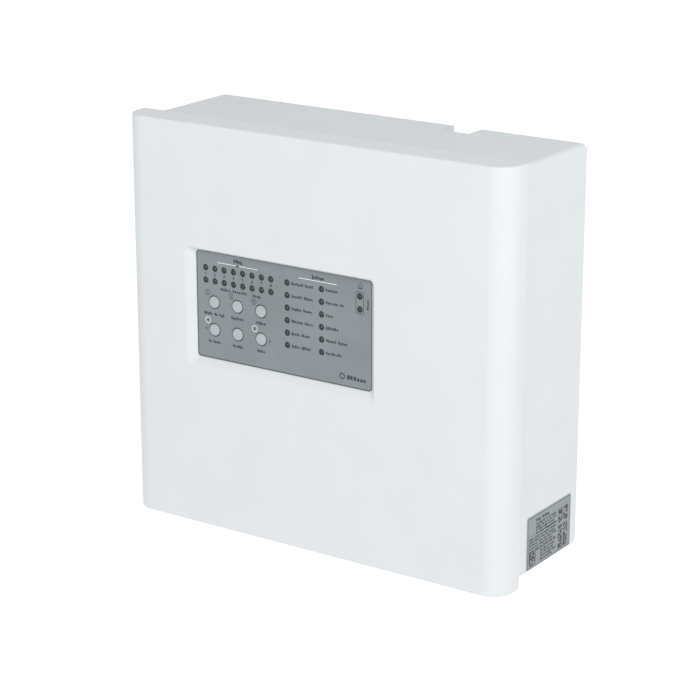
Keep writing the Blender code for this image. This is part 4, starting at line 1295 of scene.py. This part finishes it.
def make_battery(side, dice):
    """Sealed battery with a lid, poles and a greeked label."""
    node = f"battery_{side}"
    low, high = span(node)
    top = high[2] - 1.2
    x0, x1, y0, y1, z0 = low[0], high[0], low[1], high[1], low[2]
    plan = (x0, x1, y0, y1)
    body = solid(f"{node}_case", [prism(inside(plan, 0.4, 2.0, 5), z0, top - 6.0, "Z")], edge=0.8)
    rim = prism(rounded(*plan, 2.2, 5), top - 6.5, top - 3.0, "Z")
    lid = prism(inside(plan, 0.8, 2.0, 5), top - 3.5, top, "Z")
    raised = prism(rounded(x0 + 14, x1 - 14, y0 + 15, y1 - 15, 2.0, 5), top - 0.5, top + 0.8, "Z")
    for shell in (rim, lid, raised):
        combine(body, [shell], "UNION")
    piece(body, "battery", "case", node)
    pole_y = (y0 + y1) / 2 + POLE_OFFSET
    collar = from_level(top, (4.4, -0.2), (4.4, 0.5), (3.4, 0.8), (3.2, 0.3))
    for x, look in ((x0 + POLE_INSET, "red"), (x1 - POLE_INSET, "wire_black")):
        detail(f"{node}_pole_{look}", [turned(collar, (x, pole_y), "Z", 28)], look)
    sheet = rounded(x0 + 12.0, x1 - 12.0, z0 + 6.0, z0 + 38.0, 1.5, 4)
    detail(f"{node}_label", [prism(sheet, y0 + 0.25, y0 + 0.45)], "battery_label")
    rows = text_line(x0 + 18.0, z0 + 29.0, 60.0, 5.0, dice)
    for i in range(5):
        rows += text_line(x0 + 18.0, z0 + 23.0 - 3.4 * i, 108.0 - 6.0 * i, 1.7, dice)
    shells = [prism(outline, y0 + 0.22, y0 + 0.25) for outline in rows]
    detail(f"{node}_print", shells, "ink_dark")


def make_bracket():
    """Steel strap across both batteries, with a screwed foot at each end."""
    low, high = span("battery_bracket")
    bar = low[1]
    thick = 1.2
    reach = 161.0
    half = [
        (reach, bar), (reach, BRACKET_FOOT - thick), (high[0], BRACKET_FOOT - thick),
        (high[0], BRACKET_FOOT), (reach - thick, BRACKET_FOOT), (reach - thick, bar + thick),
    ]
    outline = half + [(-x, y) for x, y in half[::-1]]
    bores = [rod(SCREW_HOLE, BRACKET_FOOT - 3, BRACKET_FOOT + 1, place) for place in FOOT_SCREWS]
    grooves = [box(-150.0, 150.0, bar, bar + 0.35, z - 0.5, z + 0.5) for z in (-105.0, -99.0)]
    strap = [prism(outline, low[2], high[2], "Z")]
    detail("battery_strap", strap, "steel", "case", "battery_bracket", [bores, grooves], 0.35)


BOOT = ((3.3, 2.8, 0.0), (3.5, 3.0, 0.6), (3.5, 3.0, 7.0), (2.4, 2.2, 10.0), (1.9, 1.9, 12.0))


def boot(x, pole_y, low):
    """Connector boot on a battery pole, with a tapered neck."""
    rings = []
    for half_x, half_y, z in BOOT:
        outline = around(x, pole_y, half_x, half_y, 1.2, 4)
        rings.append([(a, b, low + z) for a, b in outline])
    return rings


def make_leads():
    """Battery, mains, earth and supply leads."""
    low, high = span("battery_left")
    pole_y = (low[1] + high[1]) / 2 + POLE_OFFSET
    foot = high[2] + GAP
    top = foot + 11.0
    plus = low[0] + POLE_INSET
    inner = -(high[0] - POLE_INSET)
    minus = -plus
    drop_y = BOARD_TOP - 1.8
    red = [
        (plus, pole_y, top), (plus + 1.0, pole_y + 1.0, top + 6.0), (-128.0, -44.0, -37.0),
        (-108.0, drop_y - 4.0, -31.0), (-98.0, drop_y, -26.0),
    ]
    black = [
        (minus, pole_y, top), (minus - 1.0, pole_y + 1.0, top + 6.0), (110.0, -50.0, -41.0),
        (68.0, -34.0, -44.0), (46.0, drop_y - 4.0, -32.0), (38.0, drop_y, -24.0),
    ]
    link = [
        (-inner, pole_y, top), (-inner + 1.0, pole_y, top + 5.0),
        (0.0, pole_y - 1.0, top + 11.0), (inner - 1.0, pole_y, top + 5.0), (inner, pole_y, top),
    ]
    live = [
        (111.0, -12.0, 107.6), (111.5, -13.0, 100.0), (115.0, drop_y - 2.0, 88.0),
        (116.0, drop_y, 74.0),
    ]
    neutral = [
        (101.0, -12.0, 107.6), (101.5, -13.0, 100.0), (103.0, drop_y - 2.0, 88.0),
        (104.0, drop_y, 74.0),
    ]
    earth = [
        (121.0, -12.0, 107.6), (122.0, -13.0, 103.0), (132.0, -14.0, 98.5),
        (145.0, -13.0, 98.5),
    ]
    supply = [
        (96.0, drop_y, -20.0), (88.0, drop_y - 3.0, -19.0), (75.0, drop_y - 6.0, -16.0),
        (62.0, drop_y - 3.0, -13.0), (52.0, drop_y, -12.0),
    ]
    leads = (
        ("battery_lead_red", red, 1.4, "red", "lead_red", (plus,)),
        ("battery_lead_black", black, 1.4, "wire_black", "black_plastic", (minus,)),
        ("battery_link_lead", link, 1.4, "blue", "lead_blue", (-inner, inner)),
        ("mains_lead_live", live, 1.3, "brown", "lead_brown", ()),
        ("mains_lead_neutral", neutral, 1.3, "blue", "lead_blue", ()),
        ("earth_lead", earth, 1.3, "earth", "lead_earth", ()),
        ("supply_lead", supply, 1.3, "wire_black", "black_plastic", ()),
    )
    for node, route, radius, look, slot, poles in leads:
        shells = [tube(route, radius), *(boot(x, pole_y, foot) for x in poles)]
        detail(f"{node}_wire", shells, look, "case", node)
    sockets = []
    for x, _, z in (red[-1], black[-1], supply[-1], supply[0], neutral[-1], live[-1]):
        sockets.append(prism(around(x, z, 2.6, 2.6, 0.6, 3), BOARD_FACE - 3.6, BOARD_FACE))
    detail("board_lead_sockets", sockets, "ceramic", edge=0.3)


# ---------------------------------------------------------------- small parts


def make_small_parts():
    """Grommet, rear plug and buzzer."""
    low, high = span("cable_grommet")
    under = RECESS_FLOOR - BASE_WALL - GAP
    over = RECESS_FLOOR + GAP
    profile = from_level(low[2], (3.5, 0.4), (4.0, 0.0), (6.9, 0.0), (7.4, 0.5))
    profile += [(7.4, under), (5.5, under)]
    profile += from_level(over, (5.5, 0.0), (7.4, 0.0), (7.3, 0.8), (6.6, 1.6))
    profile += from_level(high[2], (5.6, 0.0), (4.2, -0.2), (3.6, -0.9))
    bore = rod(3.5, under - 5, over + 5, GROMMET, "Z", 32)
    shells = [turned(profile, GROMMET, "Z", 40)]
    detail("grommet_ring", shells, "rubber", "case", "cable_grommet", [[bore]])
    low, high = span("rear_entry_plug")
    profile = from_level(high[1], (7.6, -1.0), (8.0, 0.0), (9.3, 0.0), (9.6, -0.3))
    profile += from_level(-BACK_WALL - GAP, (9.6, 0.0), (12.0, 0.0), (11.9, -0.6))
    profile.append((11.0, low[1]))
    detail("rear_plug", [turned(profile, PLUG, "Y", 48)], "rubber", "case", "rear_entry_plug")
    low, high = span("buzzer")
    centre = ((low[0] + high[0]) / 2, (low[2] + high[2]) / 2)
    profile = [(7.0, low[1]), *from_level(high[1], (7.0, -1.2), (6.8, -0.5), (6.2, 0.0))]
    hole = rod(1.2, high[1] - 1.5, high[1] + 2.0, centre)
    shells = [turned(profile, centre, "Y", 48)]
    detail("buzzer_case", shells, "black", "cover", "buzzer", [[hole]])


TEXT_BLOCKS = (
    (0.20, 0.785, (0.46, 0.48, 0.42, 0.47)),
    (0.04, 0.545, (0.62, 0.60, 0.64, 0.55, 0.61)),
    (0.30, 0.235, (0.34, 0.30, 0.36, 0.28)),
)
CELL_BLOCKS = (
    (0.715, 0.06, 5, 15, 1.3), (0.835, 0.06, 5, 15, 1.3), (0.715, 0.56, 5, 9, 1.3),
    (0.835, 0.56, 5, 9, 1.3), (0.045, 0.05, 9, 9, 1.15),
)


def label_rows(dice, y0, y1, z0, z1):
    """Greeked rows, ruled lines and square patterns of the rating label, in Y and Z."""
    wide = y1 - y0
    tall = z1 - z0
    rows = text_line(y0 + 0.20 * wide, z0 + 0.855 * tall, 0.30 * wide, 0.062 * tall, dice)
    for u, v, widths in TEXT_BLOCKS:
        for line, width in enumerate(widths):
            z = z0 + (v - 0.058 * line) * tall
            rows += text_line(y0 + u * wide, z, width * wide, 0.041 * tall, dice)
    for v in (0.62, 0.295):
        z = z0 + v * tall
        rows.append(rounded(y0 + 0.03 * wide, y0 + 0.69 * wide, z, z + 0.35))
    for u, v, across, up, size in CELL_BLOCKS:
        for i in range(across):
            for j in range(up):
                if dice.random() < 0.66:
                    y = y0 + u * wide + i * size
                    z = z0 + v * tall + j * size
                    rows.append(rounded(y, y + size * 0.94, z, z + size * 0.94))
    return rows


def make_label():
    """Grey rating label with greeked print on the right side of the case."""
    low, high = span("rating_label")
    edges = (low[1], high[1], low[2], high[2])
    sheet = prism(rounded(*edges, 1.5, 5), low[0], high[0], "X")
    detail("label_sheet", [sheet], "label", "case", "rating_label")
    depth = (high[0], high[0] + PRINT_T)
    shells = [prism(row, *depth, "X") for row in label_rows(random.Random(21), *edges)]
    shells += band(inside(edges, 0.9, 1.0, 3), inside(edges, 1.2, 0.8, 3), *depth, "X")
    detail("label_print", shells, "ink_dark")


# ---------------------------------------------------------------- stage


def make_floor():
    """Pale floor just under the panel."""
    half = STAGE_HALF
    level = cad_box[0][2] - STAGE_GAP
    mesh = bpy.data.meshes.new("floor")
    corners = [(x, y, level) for x, y in ((-half, -half), (half, -half), (half, half), (-half, half))]
    mesh.from_pydata(corners, [], [(0, 1, 2, 3)])
    floor = add_object("floor", mesh)
    mat, tree, shader = new_material("pale_floor", Roughness=0.9)
    tones = [(0.3, (0.24, 0.24, 0.24)), (0.7, (0.26, 0.26, 0.26))]
    paint(tree, shader, noise(tree, place_by_object(tree), 2.0), tones)
    shader.inputs["Emission Color"].default_value = (1.0, 1.0, 1.0, 1.0)
    shader.inputs["Emission Strength"].default_value = STAGE_GLOW
    mesh.materials.append(mat)


def make_sky():
    """Plain sky, white at the horizon and grey above."""
    world = bpy.data.worlds.new("studio")
    world.use_nodes = True
    bpy.context.scene.world = world
    tree = world.node_tree
    coords = add_node(tree, "TexCoord").outputs["Generated"]
    height = add_node(tree, "SeparateXYZ", coords).outputs["Z"]
    sky = [
        (0.0, (1.0, 1.0, 1.0)),
        (0.14, (1.0, 1.0, 1.0)),
        (0.26, (0.50, 0.505, 0.51)),
        (0.7, (0.58, 0.585, 0.59)),
        (1.0, (0.74, 0.745, 0.75)),
    ]
    background = tree.nodes["Background"].inputs
    tree.links.new(ramp(tree, height, sky), background["Color"])
    background["Strength"].default_value = 1.0


def make_light():
    """Soft rectangular light in front of the panel, above it and to its right."""
    data = bpy.data.lights.new("key", "AREA")
    data.shape = "RECTANGLE"
    data.size, data.size_y = LIGHT_SIZE
    data.energy = LIGHT_POWER
    light = add_object("key", data)
    light.location = LIGHT_PLACE
    light.rotation_euler = (-light.location).to_track_quat("-Z", "Y").to_euler()


def make_camera():
    """Camera at the photographed angle."""
    azimuth = math.radians(CAMERA_AZIMUTH)
    elevation = math.radians(CAMERA_ELEVATION)
    data = bpy.data.cameras.new("camera")
    data.lens = CAMERA_LENS
    data.sensor_width = 36.0
    data.clip_end = 50.0
    camera = add_object("camera", data)
    level = math.cos(elevation)
    away = Vector((math.sin(azimuth) * level, -math.cos(azimuth) * level, math.sin(elevation)))
    camera.location = Vector(CAMERA_TARGET) + away * CAMERA_DISTANCE
    camera.rotation_euler = (-away).to_track_quat("-Z", "Y").to_euler()
    bpy.context.scene.camera = camera
    bpy.context.scene.view_settings.view_transform = "Standard"


def main():
    """Build the pieces, light them and look at them."""
    make_base()
    make_cover()
    make_film()
    make_print()
    make_lenses()
    make_keys()
    make_collars()
    make_display_details()
    make_screws()
    terminal_block("zone_terminals", 20)
    terminal_block("output_terminals", 15)
    terminal_block("mains_terminal", 3)
    make_resistors()
    make_chips()
    make_cans()
    make_relays()
    make_transformer()
    make_large_capacitor()
    make_fuse()
    make_earth_stud()
    make_ribbon()
    dice = random.Random(8)
    for side in ("left", "right"):
        make_battery(side, dice)
    make_bracket()
    make_leads()
    make_small_parts()
    make_label()
    carry(["main_board", "power_board", "display_board"], "board")
    carry(["key_mat"], "silicone")
    carry(["processor", "board_header", "display_header"], "black")
    carry(["power_heatsink"], "aluminium")
    make_floor()
    make_sky()
    make_light()
    make_camera()


main()
